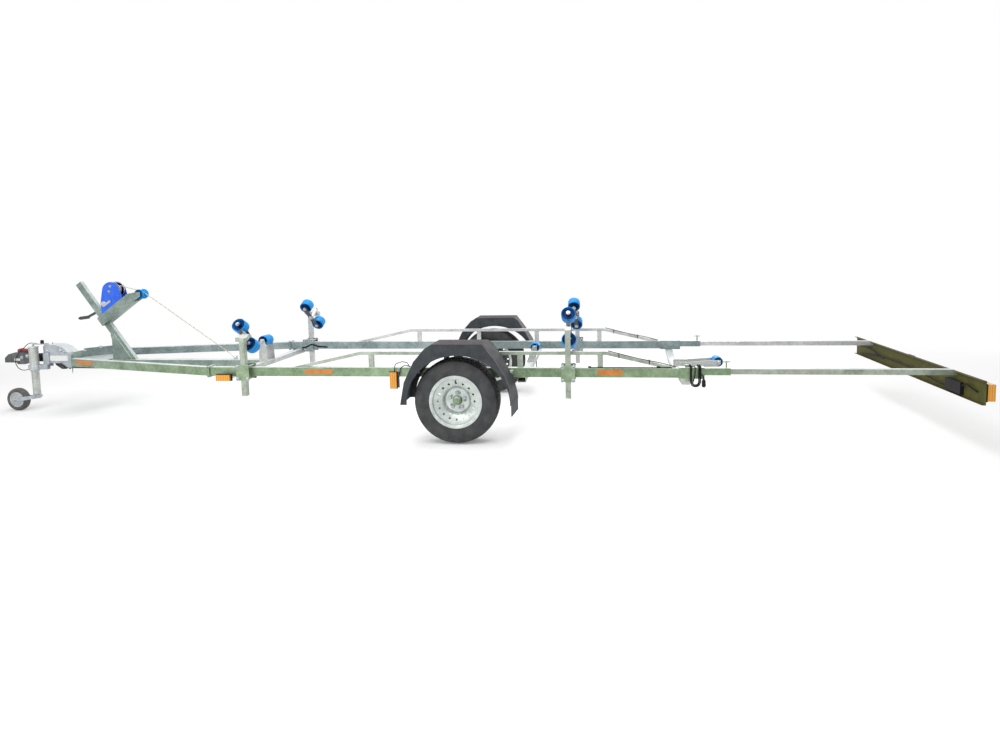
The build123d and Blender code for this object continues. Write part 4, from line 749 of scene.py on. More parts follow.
# ---- shapes ----
class Shape:
    """Faces gathered for one piece in millimetres, with a finish for each part of it."""

    def __init__(self) -> None:
        """Start with nothing."""
        self.points: list[Vector] = []
        self.faces: list[tuple[int, ...]] = []
        self.marks: list[int] = []
        self.finishes: list[Finish] = []
        self.current = 0

    def use(self, finish: Finish) -> Shape:
        """Make what follows of this finish.

        Args:
            finish: The finish of the next faces.

        Returns:
            The shape itself.
        """
        if finish not in self.finishes:
            self.finishes.append(finish)
        self.current = self.finishes.index(finish)
        return self

    def _add(self, points: Iterable[Vector], faces: Iterable[Sequence[int]]) -> None:
        """Take points and the faces that join them.

        Args:
            points: The points.
            faces: For each face, its points' numbers.
        """
        start = len(self.points)
        self.points += [Vector(point) for point in points]
        for face in faces:
            self.faces.append(tuple(start + index for index in face))
            self.marks.append(self.current)

    def loft(self, rings: Sequence[Sequence[Vector]], closed: bool = True, caps: bool = True,
             loop: bool = False) -> None:
        """Join rings of points by faces.

        Args:
            rings: Rings with as many points each.
            closed: Whether each ring closes on itself.
            caps: Whether the first and last ring are filled.
            loop: Whether the last ring joins the first.
        """
        count = len(rings[0])
        points = [point for ring in rings for point in ring]
        faces = []
        spans = len(rings) if loop else len(rings) - 1
        for row in range(spans):
            here, after = row * count, (row + 1) % len(rings) * count
            for column in range(count if closed else count - 1):
                beside = (column + 1) % count
                faces.append((here + column, here + beside, after + beside, after + column))
        if caps and not loop:
            faces.append(tuple(reversed(range(count))))
            faces.append(tuple((len(rings) - 1) * count + column for column in range(count)))
        self._add(points, faces)

    def box(self, low: Point, high: Point) -> None:
        """Add a box between two corners.

        Args:
            low: Lowest corner.
            high: Highest corner.
        """
        (x0, y0, z0), (x1, y1, z1) = low, high
        ring = ((x0, y0), (x1, y0), (x1, y1), (x0, y1))
        self.loft([[Vector((x, y, z)) for x, y in ring] for z in (z0, z1)])

    def slab(self, way: int, across: Place, along: Place, up: Place) -> None:
        """Add a box on one side of the trailer.

        Args:
            way: 1 for the left side, -1 for the right.
            across: Its faces' distances from the middle plane.
            along: Its stations, the front one first.
            up: Its heights, the lower one first.
        """
        low, high = sorted((way * across[0], way * across[1]))
        self.box((low, along[0], up[0]), (high, along[1], up[1]))

    def turned(self, profile: Sequence[Place], centre: Point, direction: Point, steps: int = 48,
               start: float = 0.0, closed: bool = False) -> None:
        """Turn a profile about a line.

        Args:
            profile: Points as (along the line, radius).
            centre: Where the line's zero is.
            direction: The line's direction.
            steps: Faces round the turn.
            start: Angle of the first point in degrees.
            closed: Whether the profile's end joins its start, as in a ring.
        """
        line = Vector(direction).normalized()
        first = line.orthogonal() if abs(line.x) < 0.6 else Vector((0, 0, 1)).cross(line)
        first.normalize()
        second = line.cross(first)
        rings = []
        for step in range(steps):
            angle = math.radians(start) + 2 * math.pi * step / steps
            out = first * math.cos(angle) + second * math.sin(angle)
            rings.append([Vector(centre) + line * along + out * radius for along, radius in profile])
        self.loft(rings, closed=closed, caps=False, loop=True)

    def rod(self, start: Point, end: Point, radius: float, steps: int = 20, round_edge: float = 0.0) -> None:
        """Add a round bar.

        Args:
            start: One end's centre.
            end: The other end's centre.
            radius: Its radius.
            steps: Faces round it.
            round_edge: How far the end edges are rounded off.
        """
        run = Vector(end) - Vector(start)
        length, soft = run.length, max(round_edge, 0.01)
        profile = ((0.0, 0.0), (0.0, radius - soft), (soft, radius), (length - soft, radius),
                   (length, radius - soft), (length, 0.0))
        self.turned(profile, start, tuple(run), steps=steps)

    def prism(self, outline: Sequence[Vector], run: Vector) -> None:
        """Extrude a flat outline.

        Args:
            outline: The outline's points.
            run: The way and length of the extrusion.
        """
        self.loft([list(outline), [point + run for point in outline]])

    def side_plate(self, outline: Sequence[Place], x0: float, x1: float) -> None:
        """Add a plate from a (station, height) outline.

        Args:
            outline: Points as (station, height).
            x0: One face.
            x1: The other face.
        """
        self.prism([Vector((x0, y, z)) for y, z in outline], Vector((x1 - x0, 0, 0)))

    def hexagon(self, seat: Point, direction: Point, size: float, height: float, turn: float = 0.0) -> None:
        """Add a nut or bolt head with its washer.

        Args:
            seat: Centre of the face that it stands on.
            direction: The way it stands out.
            size: Radius to its corners.
            height: Its height with the washer.
            turn: Its angle in degrees.
        """
        washer, rim = height * 0.22, size * 1.35
        self.turned(((0, 0), (0, rim), (washer, rim), (washer, 0)), seat, direction, steps=20)
        profile = ((washer, 0), (washer, size), (height * 0.86, size), (height, size * 0.86), (height, 0))
        self.turned(profile, seat, direction, steps=6, start=turn)

    def bolt(self, seat: Point, direction: Point, size: float = 9.0, height: float = 8.0, tail: float = 0.0,
             turn: float = 0.0) -> None:
        """Add a nut with the end of its bolt.

        Args:
            seat: Centre of the face that it stands on.
            direction: The way it stands out.
            size: The nut's radius to its corners.
            height: The nut's height with its washer.
            tail: How far the bolt's end stands out of it.
            turn: The nut's angle in degrees.
        """
        self.hexagon(seat, direction, size, height, turn=turn)
        if tail > 0:
            line = Vector(direction).normalized()
            top = Vector(seat) + line * height
            self.rod(tuple(top), tuple(top + line * tail), size * 0.5, steps=10, round_edge=size * 0.1)

    def weld(self, route: Sequence[Point], radius: float = 4.0, closed: bool = False) -> None:
        """Add a rippled weld bead along a route.

        Args:
            route: Corners of the bead's line.
            radius: The bead's radius.
            closed: Whether it comes back to its start.
        """
        corners = [Vector(point) for point in route]
        if closed:
            corners.append(corners[0])
        for start, end in zip(corners, corners[1:]):
            run = end - start
            line = run.normalized()
            first = line.orthogonal().normalized()
            second = line.cross(first)
            steps = max(2, int(run.length / 5))
            rings = []
            for step in range(steps + 1):
                swell = radius * (1.0 if step % 2 else 0.82)
                centre = start + run * (step / steps)
                rings.append([centre + (first * math.cos(a) + second * math.sin(a)) * swell
                              for a in (math.pi / 3 * k for k in range(6))])
            self.loft(rings)

    def tube(self, route: Sequence[Vector], radius: float, steps: int = 10) -> None:
        """Add a thin tube along a smooth route.

        Args:
            route: Points close together along its line.
            radius: Its radius.
            steps: Faces round it.
        """
        rings = []
        line = (route[1] - route[0]).normalized()
        first = line.orthogonal().normalized()
        for index, centre in enumerate(route):
            ahead = route[min(index + 1, len(route) - 1)] - route[max(index - 1, 0)]
            line = ahead.normalized()
            first = (first - line * first.dot(line)).normalized()
            second = line.cross(first)
            rings.append([centre + (first * math.cos(a) + second * math.sin(a)) * radius
                          for a in (2 * math.pi * k / steps for k in range(steps))])
        self.loft(rings)

    def cable(self, corners: Sequence[Point], radius: float) -> None:
        """Add a thin cable through corners, with its bends rounded.

        Args:
            corners: The cable's ends and corners.
            radius: Its radius.
        """
        points = [Vector(corner) for corner in corners]
        route = [points[0]]
        for before, here, after in zip(points, points[1:], points[2:]):
            reach = 0.3 * min((here - before).length, (after - here).length)
            start = here + (before - here).normalized() * reach
            end = here + (after - here).normalized() * reach
            for share in (step / 6 for step in range(7)):
                route.append(start * (1 - share) ** 2 + here * 2 * share * (1 - share) + end * share ** 2)
        route.append(points[-1])
        self.tube(route, radius, 8)

    def piece(self, name: str, body: str, bevel: float = 0.0, smooth: float = 32.0) -> bpy.types.Object:
        """Make the gathered faces one piece that rides on a body.

        Args:
            name: The piece's name.
            body: The body that it rides on.
            bevel: Width of its rounded edges, in metres.
            smooth: Edges sharper than this many degrees stay sharp.

        Returns:
            The piece.
        """
        mesh = bpy.data.meshes.new(name)
        mesh.from_pydata([at(point) for point in self.points], [], self.faces)
        for finish in self.finishes:
            mesh.materials.append(finish.material())
        mesh.polygons.foreach_set("material_index", self.marks)
        return dressed(mesh, name, body, bevel, smooth)


def dressed(mesh: bpy.types.Mesh, name: str, body: str, bevel: float, smooth: float) -> bpy.types.Object:
    """Turn a mesh into a piece with clean faces, rounded edges and smooth shading.

    Args:
        mesh: The piece's mesh.
        name: Its name.
        body: The body that it rides on.
        bevel: Width of its rounded edges.
        smooth: Edges sharper than this many degrees stay sharp.

    Returns:
        The piece.
    """
    work = bmesh.new()
    work.from_mesh(mesh)
    bmesh.ops.remove_doubles(work, verts=work.verts, dist=1e-6)
    bmesh.ops.recalc_face_normals(work, faces=work.faces)
    work.to_mesh(mesh)
    work.free()
    mesh.polygons.foreach_set("use_smooth", [True] * len(mesh.polygons))
    mesh.set_sharp_from_angle(angle=math.radians(smooth))
    piece = bpy.data.objects.new(name, mesh)
    bpy.context.scene.collection.objects.link(piece)
    if bevel > 0:
        rounded = piece.modifiers.new("rounded edges", "BEVEL")
        rounded.width = bevel
        rounded.segments = 2
        rounded.limit_method = "ANGLE"
        rounded.angle_limit = BEVEL_ANGLE
        rounded.harden_normals = True
    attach(piece, body)
    log.info("%s rides on %s", name, body)
    return piece


def body_of(node: str) -> str:
    """The body that a CAD node rides on.

    Args:
        node: The node's name.

    Returns:
        The body's name.
    """
    return frame["nodes"][node]["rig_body"]


def softened(node: str, width: float, finish: Finish, angle: float = 32.0) -> bpy.types.Object:
    """A copy of a CAD node with rounded edges, which stands for it.

    Args:
        node: The node's name.
        width: Width of the rounded edges.
        finish: Its finish.
        angle: Edges sharper than this many degrees stay sharp.

    Returns:
        The piece.
    """
    mesh = frame["nodes"][node].data.copy()
    mesh.materials.clear()
    mesh.materials.append(finish.material())
    work = bmesh.new()
    work.from_mesh(mesh)
    bmesh.ops.remove_doubles(work, verts=work.verts, dist=1e-5)
    bmesh.ops.dissolve_limit(work, angle_limit=FLAT_ANGLE, verts=work.verts, edges=work.edges)
    work.to_mesh(mesh)
    work.free()
    mesh.polygons.foreach_set("material_index", [0] * len(mesh.polygons))
    piece = dressed(mesh, node + "_finished", body_of(node), width, angle)
    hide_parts(node)
    return piece


# ---- sub-assemblies ----
# The side rails' faces, as distances from the middle plane and heights, and the rollers' axles on that plane.
RAIL_OUTER = 675.0
RAIL_INNER = 625.0
RAIL_CENTRE = 650.0
RAIL_TOP = 525.0
RAIL_MIDDLE = 490.0
KEEL_AXLES: dict[str, Place] = {
    "keel_roller_front": (-1925.0, 639.0),
    "keel_roller_middle": (500.0, 577.0),
    "keel_roller_rear": (2007.0, 455.0),
}
BOW_AXLE: Place = (-3097.0, 1065.0)


@dataclass(frozen=True)
class RollerPair:
    """Where a rocking roller pair stands and how it leans."""

    name: str
    side: Side
    post: float
    station: float
    height: float
    lean: float
    pair_x: float = 552.0
    tilt: float = 30.0

    def point(self, along: float, ahead: float = 0.0) -> Point:
        """A place on the pair.

        Args:
            along: How far outboard along the pivot's line.
            ahead: How far out along the arm, forward end up.

        Returns:
            The place in millimetres.
        """
        lean, tilt = math.radians(self.lean), math.radians(self.tilt)
        line = Vector((math.cos(tilt), 0.0, math.sin(tilt)))
        arm = Vector((-math.sin(lean) * math.sin(tilt), -math.cos(lean), math.sin(lean) * math.cos(tilt)))
        centre = Vector((self.pair_x, self.station, self.height))
        place = centre + line * along + arm * ahead
        return (place.x * self.side.value, place.y, place.z)

    def outboard(self) -> Point:
        """The direction outboard along the pivot's line."""
        start, end = Vector(self.point(0.0)), Vector(self.point(1.0))
        return tuple(end - start)


PAIRS = (
    RollerPair("front_left", Side.LEFT, -1720.0, -1776.0, 756.0, 51.0),
    RollerPair("front_right", Side.RIGHT, -1836.0, -1741.0, 809.0, 72.0),
    RollerPair("rear_left", Side.LEFT, 808.0, 811.0, 807.0, 88.0),
    RollerPair("rear_right", Side.RIGHT, 836.0, 823.0, 796.0, 85.0),
)


@dataclass
class Steelwork:
    """The zinc-dipped frame: its pieces with rounded edges, and the bolts and welds that hold it."""

    soft_nodes: tuple[tuple[str, float], ...] = (
        ("side_rails", 0.006), ("drawbar_beams", 0.005), ("drawbar_head", 0.0012), ("centre_beam", 0.005),
        ("cross_members", 0.004), ("rear_sleeves", 0.002), ("overbars", 0.004), ("axle_tube", 0.004),
        ("side_posts", 0.002), ("post_clamps", 0.002), ("keel_brackets", 0.002), ("winch_post", 0.003),
        ("winch_channel", 0.002), ("light_tubes", 0.003), ("mudguard_lugs", 0.002), ("swing_arms", 0.003),
    )
    pale_nodes: tuple[str, ...] = (
        "overbars", "light_tubes", "side_posts", "cross_members", "keel_brackets", "mudguard_lugs")
    clamp_face: float = 723.0
    clamp_back: float = 617.0
    clamp_bolt: Place = (40.0, 49.0)
    nut: Place = (11.0, 10.0)
    flange_station: float = -2020.0
    flange_depth: float = 16.0
    flange_bolt: Place = (29.0, 37.0)
    overbar_posts: tuple[float, ...] = (-705.0, -113.0, 448.0, 1044.0)
    overbar_low: float = 621.0
    post_half: Place = (10.5, 20.5)
    cross_stations: tuple[float, ...] = (-1930.0, 460.0)
    cross_half: float = 30.0
    cross_heights: Place = (458.0, 491.0)
    weld_radius: float = 2.6
    keel_half: float = 66.0
    head_bolts: tuple[Place, ...] = ((-3610.0, 255.0), (-3690.0, 165.0), (-3625.0, 90.0))
    head_top: float = 556.0
    rail_stickers: tuple[Place, ...] = ((-1236.0, -1012.0), (1022.0, 1205.0))
    rail_sticker_heights: Place = (472.0, 512.0)
    sticker_depth: float = 0.4
    beam_edge: tuple[Place, Place] = ((309.0, -3560.0), (675.0, -2036.0))
    beam_sticker: tuple[float, float, float, float] = (60.0, 200.0, 478.0, 36.0)

    def clamp_fixings(self) -> None:
        """Nuts on both faces of the side posts' clamp plates."""
        shape = Shape().use(ZINC_BRIGHT)
        size, height = self.nut
        for pair in PAIRS:
            way = pair.side.value
            for index, (dy, dz) in enumerate(((1, 1), (1, -1), (-1, 1), (-1, -1))):
                y, z = pair.post + dy * self.clamp_bolt[0], RAIL_MIDDLE + dz * self.clamp_bolt[1]
                shape.bolt((way * self.clamp_face, y, z), (way, 0, 0), size, height, turn=17.0 * index)
                shape.bolt((way * self.clamp_back, y, z), (-way, 0, 0), size, height, turn=11.0 * index)
        shape.piece("clamp_nuts", "chassis", bevel=0.0006)

    def flange_fixings(self) -> None:
        """Bolts through the flanges between the rails and the drawbar beams."""
        shape = Shape().use(ZINC_BRIGHT)
        for way in (1, -1):
            for dx in (-1, 1):
                for dz in (-1, 1):
                    x = way * (RAIL_CENTRE + dx * self.flange_bolt[0])
                    z = RAIL_MIDDLE + dz * self.flange_bolt[1]
                    shape.bolt((x, self.flange_station, z), (0, 1, 0), size=7.0, height=6.0, tail=6.0,
                               turn=9.0)
                    shape.bolt((x, self.flange_station - self.flange_depth, z), (0, -1, 0), size=7.0,
                               height=5.0)
        shape.piece("flange_bolts", "chassis", bevel=0.0005)

    def keel_fixings(self) -> None:
        """Lock nuts on the keel rollers' axles."""
        shape = Shape().use(ZINC_BRIGHT)
        for station, height in KEEL_AXLES.values():
            for way in (1, -1):
                shape.bolt((way * self.keel_half, station, height), (way, 0, 0), size=14.0, height=12.0,
                           turn=14.0)
        shape.piece("keel_axle_nuts", "chassis", bevel=0.0006)

    def head_fixings(self) -> None:
        """Bolt heads on the drawbar's head plate."""
        shape = Shape().use(ZINC_BRIGHT)
        for way in (1, -1):
            for station, x in self.head_bolts:
                shape.bolt((way * x, station, self.head_top), (0, 0, 1), size=11.0, height=9.0, turn=21.0)
        shape.piece("head_plate_bolts", "chassis", bevel=0.0006)

    def welds(self) -> None:
        """Weld beads round the over-bars' posts and feet and along the cross members' ends."""
        shape = Shape().use(ZINC)
        across, along = self.post_half
        for way in (1, -1):
            for station in self.overbar_posts:
                for height in (RAIL_TOP, self.overbar_low):
                    low, high = station - along, station + along
                    x0, x1 = way * (RAIL_CENTRE - across), way * (RAIL_CENTRE + across)
                    ring = ((x0, low, height), (x1, low, height), (x1, high, height), (x0, high, height))
                    shape.weld(ring, self.weld_radius, closed=True)
            for station in self.cross_stations:
                x = way * RAIL_INNER
                for dy in (-1, 1):
                    y = station + dy * self.cross_half
                    shape.weld([(x, y, height) for height in self.cross_heights], self.weld_radius)
        shape.piece("frame_welds", "chassis")

    def stickers(self) -> None:
        """Blank stickers on the left rail and the left drawbar beam."""
        shape = Shape().use(STICKER)
        for stations in self.rail_stickers:
            shape.slab(1, (RAIL_OUTER, RAIL_OUTER + self.sticker_depth), stations, self.rail_sticker_heights)
        offset, length, low, height = self.beam_sticker
        first, last = (Vector((x, station, low)) for x, station in self.beam_edge)
        slope = (last - first).normalized()
        out = Vector((slope.y, -slope.x, 0.0)) * 0.5
        corner = first + slope * offset + out
        across, up = slope * length, Vector((0, 0, height))
        shape.prism([corner, corner + across, corner + across + up, corner + up], -out * 0.8)
        shape.piece("blank_stickers", "chassis")

    def build(self) -> None:
        """Dress the frame."""
        for node, width in self.soft_nodes:
            softened(node, width, ZINC_PALE if node in self.pale_nodes else ZINC)
        self.clamp_fixings()
        self.flange_fixings()
        self.keel_fixings()
        self.head_fixings()
        self.welds()
        self.stickers()
        log.info("steelwork")


@dataclass
class RoadWheel:
    """A road wheel: ribbed tyre, pierced disc and hub with its bolts."""

    side: Side
    centre: float = 798.0
    radius: float = 314.0
    bead: Place = (76.0, 178.3)
    steps: int = 360
    grooves: tuple[float, ...] = (-56.0, -20.0, 20.0, 56.0)
    groove_half: float = 5.0
    groove_depth: float = 7.5
    tread_edge: float = 82.0
    tread_from: float = 290.0
    shoulder: float = 61.5
    second_rib: float = 25.5
    middle_rib: float = 6.0
    cut_depths: Point = (5.0, 4.0, 2.5)
    slant: float = 9.0
    wall_ribs: Place = (265.0, 284.0)
    wall_rib_height: float = 0.9
    bolt_circle: float = 56.0
    bolt_count: int = 5
    bolt_face: float = 18.0
    valve_circle: float = 158.0
    weight_circle: float = 188.0
    weight_angle: float = 205.0
    rim_face: float = 84.0
    drum_from: float = 64.0

    @property
    def label(self) -> str:
        """The side's name."""
        return self.side.name.lower()

    def profile(self) -> list[Place]:
        """Half of the tyre's section, from the bead to the crown's middle.

        Returns:
            Points as (across, radius).
        """
        wall = [(75.0, 179.0), (79.0, 184.0), (82.0, 194.0), (85.0, 197.0), (88.0, 199.0), (91.0, 210.0),
                (94.0, 224.0), (96.5, 238.0), (97.5, 250.0), (97.0, 262.0), (96.0, 265.0), (96.0, 270.0),
                (94.5, 273.0), (92.0, 283.0), (88.5, 293.0), (84.0, 300.5)]
        stops = (78.0, 73.0, 68.0, 61.6, 61.0, 56.0, 51.0, 50.4, 44.0, 36.0, 30.0, 25.6, 25.0, 20.0, 15.0,
                 14.4, 7.0, 0.0)
        return wall + [(across, self.radius - 12.0 * (across / 80.0) ** 3) for across in stops]

    def tread_drop(self, across: float, step: int) -> float:
        """How far the tread lies below its outline at a place.

        Args:
            across: Distance from the middle of the tread.
            step: The place round the tyre.

        Returns:
            The drop in millimetres.
        """
        rib = abs(across)
        if rib > self.tread_edge:
            return 0.0
        if any(abs(across - groove) <= self.groove_half + 0.1 for groove in self.grooves):
            return self.groove_depth
        shoulder_cut, second_cut, middle_cut = self.cut_depths
        shift = int(rib / self.slant) * (1 if across > 0 else -1)
        if rib > self.shoulder:
            return shoulder_cut if (step + shift) % 8 < 2 else 0.0
        if rib > self.second_rib:
            return second_cut if (step + shift) % 6 == 0 else 0.0
        return middle_cut if (step + 2 * shift) % 12 == 0 and rib > self.middle_rib else 0.0

    def tyre(self) -> None:
        """Build the tyre in place of its plain ring."""
        half = self.profile()
        reach, seat = self.bead
        inner = [(across, seat) for across in (-reach, -60.0, 60.0, reach)]
        section = inner + half + [(-across, radius) for across, radius in reversed(half[:-1])]
        rib_low, rib_high = self.wall_ribs
        rings = []
        for step in range(self.steps):
            angle = 2 * math.pi * step / self.steps
            ring = []
            for index, (across, radius) in enumerate(section):
                tread = index >= len(inner) and radius > self.tread_from
                out = radius - (self.tread_drop(across, step) if tread else 0.0)
                rib = self.wall_rib_height if rib_low < radius < rib_high and step % 4 < 2 else 0.0
                x = self.side.value * (self.centre + across + math.copysign(rib, across))
                ring.append(Vector((x, out * math.cos(angle), self.radius + out * math.sin(angle))))
            rings.append(ring)
        shape = Shape().use(TYRE_RUBBER)
        shape.loft(rings, closed=True, caps=False, loop=True)
        tyre = shape.piece(f"{self.label}_tyre_treaded", f"{self.label}_wheel", smooth=40.0)
        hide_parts(f"{self.label}_tyre")

    def fixings(self) -> None:
        """Wheel bolts, the valve and a balance weight."""
        way = self.side.value
        face, rim = self.centre + self.bolt_face, self.centre + self.rim_face
        shape = Shape().use(ZINC_BRIGHT)
        for index in range(self.bolt_count):
            angle = math.pi / 2 + 2 * math.pi * index / self.bolt_count
            y, z = self.bolt_circle * math.cos(angle), self.radius + self.bolt_circle * math.sin(angle)
            shape.bolt((way * face, y, z), (way, 0, 0), size=12.0, height=14.0, turn=31.0 * index)
        shape.use(BLACK_RUBBER)
        z = self.radius + self.valve_circle
        shape.rod((way * (self.centre + 50), 0.0, z), (way * rim, 0.0, z - 9), 4.2)
        shape.use(ZINC_BRIGHT)
        shape.rod((way * rim, 0.0, z - 9), (way * (rim + 6), 0.0, z - 10.6), 3.0)
        for step in range(5):
            angle = math.radians(self.weight_angle + 2.4 * step)
            y, z = self.weight_circle * math.cos(angle), self.radius + self.weight_circle * math.sin(angle)
            shape.box((way * rim, y - 4, z - 4), (way * (rim + 5), y + 4, z + 4))
        shape.piece(f"{self.label}_wheel_fixings", f"{self.label}_wheel", bevel=0.0006)

    def shade_drum(self, hub: bpy.types.Object) -> None:
        """Blacken the brake drum behind the disc, as painted shade, so that the disc's vent holes show dark.

        Args:
            hub: The hub's piece.
        """
        hub.data.materials.append(BLACK_STEEL.material())
        middle = at((0.0, 0.0, self.radius))
        # The hub's faces beyond the drum's radius take the black painted shade.
        for face in hub.data.polygons:
            place = face.center
            if math.hypot(place.y - middle[1], place.z - middle[2]) > self.drum_from * MM:
                face.material_index = 1

    def build(self) -> None:
        """Build the wheel."""
        self.tyre()
        softened(f"{self.label}_rim", 0.0015, WHEEL_SILVER, angle=30.0)
        hub = softened(f"{self.label}_hub", 0.002, ZINC, angle=30.0)
        self.shade_drum(hub)
        self.fixings()
        log.info("%s road wheel", self.label)


@dataclass
class RollerCradle:
    """Keel rollers, the bow roller and the rocking roller pairs with their nuts."""

    spacing: float = 105.0
    nut_reach: float = 49.5
    inner_reach: float = 56.5
    # Radii of the painted shade on the keel rollers' and the pairs' hollow ends, in metres.
    keel_end_shade_reach: float = 0.019
    pair_end_shade_reach: float = 0.0452

    def shade_ends(self, piece: bpy.types.Object, centre: Point, line: Vector, reach: float) -> None:
        """Paint shade on a roller's hollow ends: their faces take a dark navy.

        Args:
            piece: The roller's piece.
            centre: A place on its axle, in metres.
            line: Its axle's direction.
            reach: Radius inside which its faces take the painted shade, in metres.
        """
        piece.data.materials.append(ROLLER_END_SHADE.material())
        line = line.normalized()
        for face in piece.data.polygons:
            away = face.center - Vector(centre)
            if (away - line * away.dot(line)).length < reach:
                face.material_index = 1

    def build(self) -> None:
        """Dress every roller and its fixings."""
        for name, (station, height) in {**KEEL_AXLES, "bow_roller": BOW_AXLE}.items():
            roller = softened(name, 0.0025, ROLLER_BLUE, angle=30.0)
            self.shade_ends(roller, at((0.0, station, height)), Vector((1, 0, 0)), self.keel_end_shade_reach)
        for pair in PAIRS:
            softened(f"rocker_{pair.name}", 0.0015, BLACK_STEEL, angle=30.0)
            shape = Shape().use(ZINC_BRIGHT)
            outward = Vector(pair.outboard())
            inward = tuple(-outward)
            for label, ahead in (("upper", self.spacing), ("lower", -self.spacing)):
                roller = softened(f"roller_{pair.name}_{label}", 0.003, ROLLER_BLUE, angle=30.0)
                self.shade_ends(roller, at(pair.point(0.0, ahead)), outward, self.pair_end_shade_reach)
                outer_seat = pair.point(self.nut_reach, ahead)
                inner_seat = pair.point(-self.inner_reach, ahead)
                shape.bolt(outer_seat, tuple(outward), size=12.0, height=11.0, turn=12.0)
                shape.bolt(inner_seat, inward, size=12.0, height=11.0, tail=5.0, turn=25.0)
            shape.bolt(pair.point(-self.inner_reach), inward, size=15.0, height=12.0, tail=6.0, turn=7.0)
            shape.piece(f"rocker_{pair.name}_nuts", f"rocker_{pair.name}", bevel=0.0006)
        log.info("roller cradle")


def smooth_route(name: str, points: Sequence[Point], radius: float, body: str,
                 finish: Finish) -> bpy.types.Object:
    """A cord's curve: one open smooth line with the route's points as its control points.

    Args:
        name: The piece's name.
        points: The route in millimetres.
        radius: The cord's radius in millimetres.
        body: The body that it rides on.
        finish: Its finish.

    Returns:
        The piece.
    """
    curve = bpy.data.curves.new(name, "CURVE")
    curve.dimensions = "3D"
    line = curve.splines.new("NURBS")
    line.points.add(len(points) - 1)
    for control, point in zip(line.points, points):
        control.co = (*at(point), 1.0)
    line.order_u = 3
    line.use_endpoint_u = True
    line.resolution_u = 10
    curve.bevel_depth = radius * MM
    curve.bevel_resolution = 4
    curve.use_fill_caps = True
    curve.materials.append(finish.material())
    cord = bpy.data.objects.new(name, curve)
    bpy.context.scene.collection.objects.link(cord)
    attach(cord, body)
    log.info("%s rides on %s", name, body)
    return cord


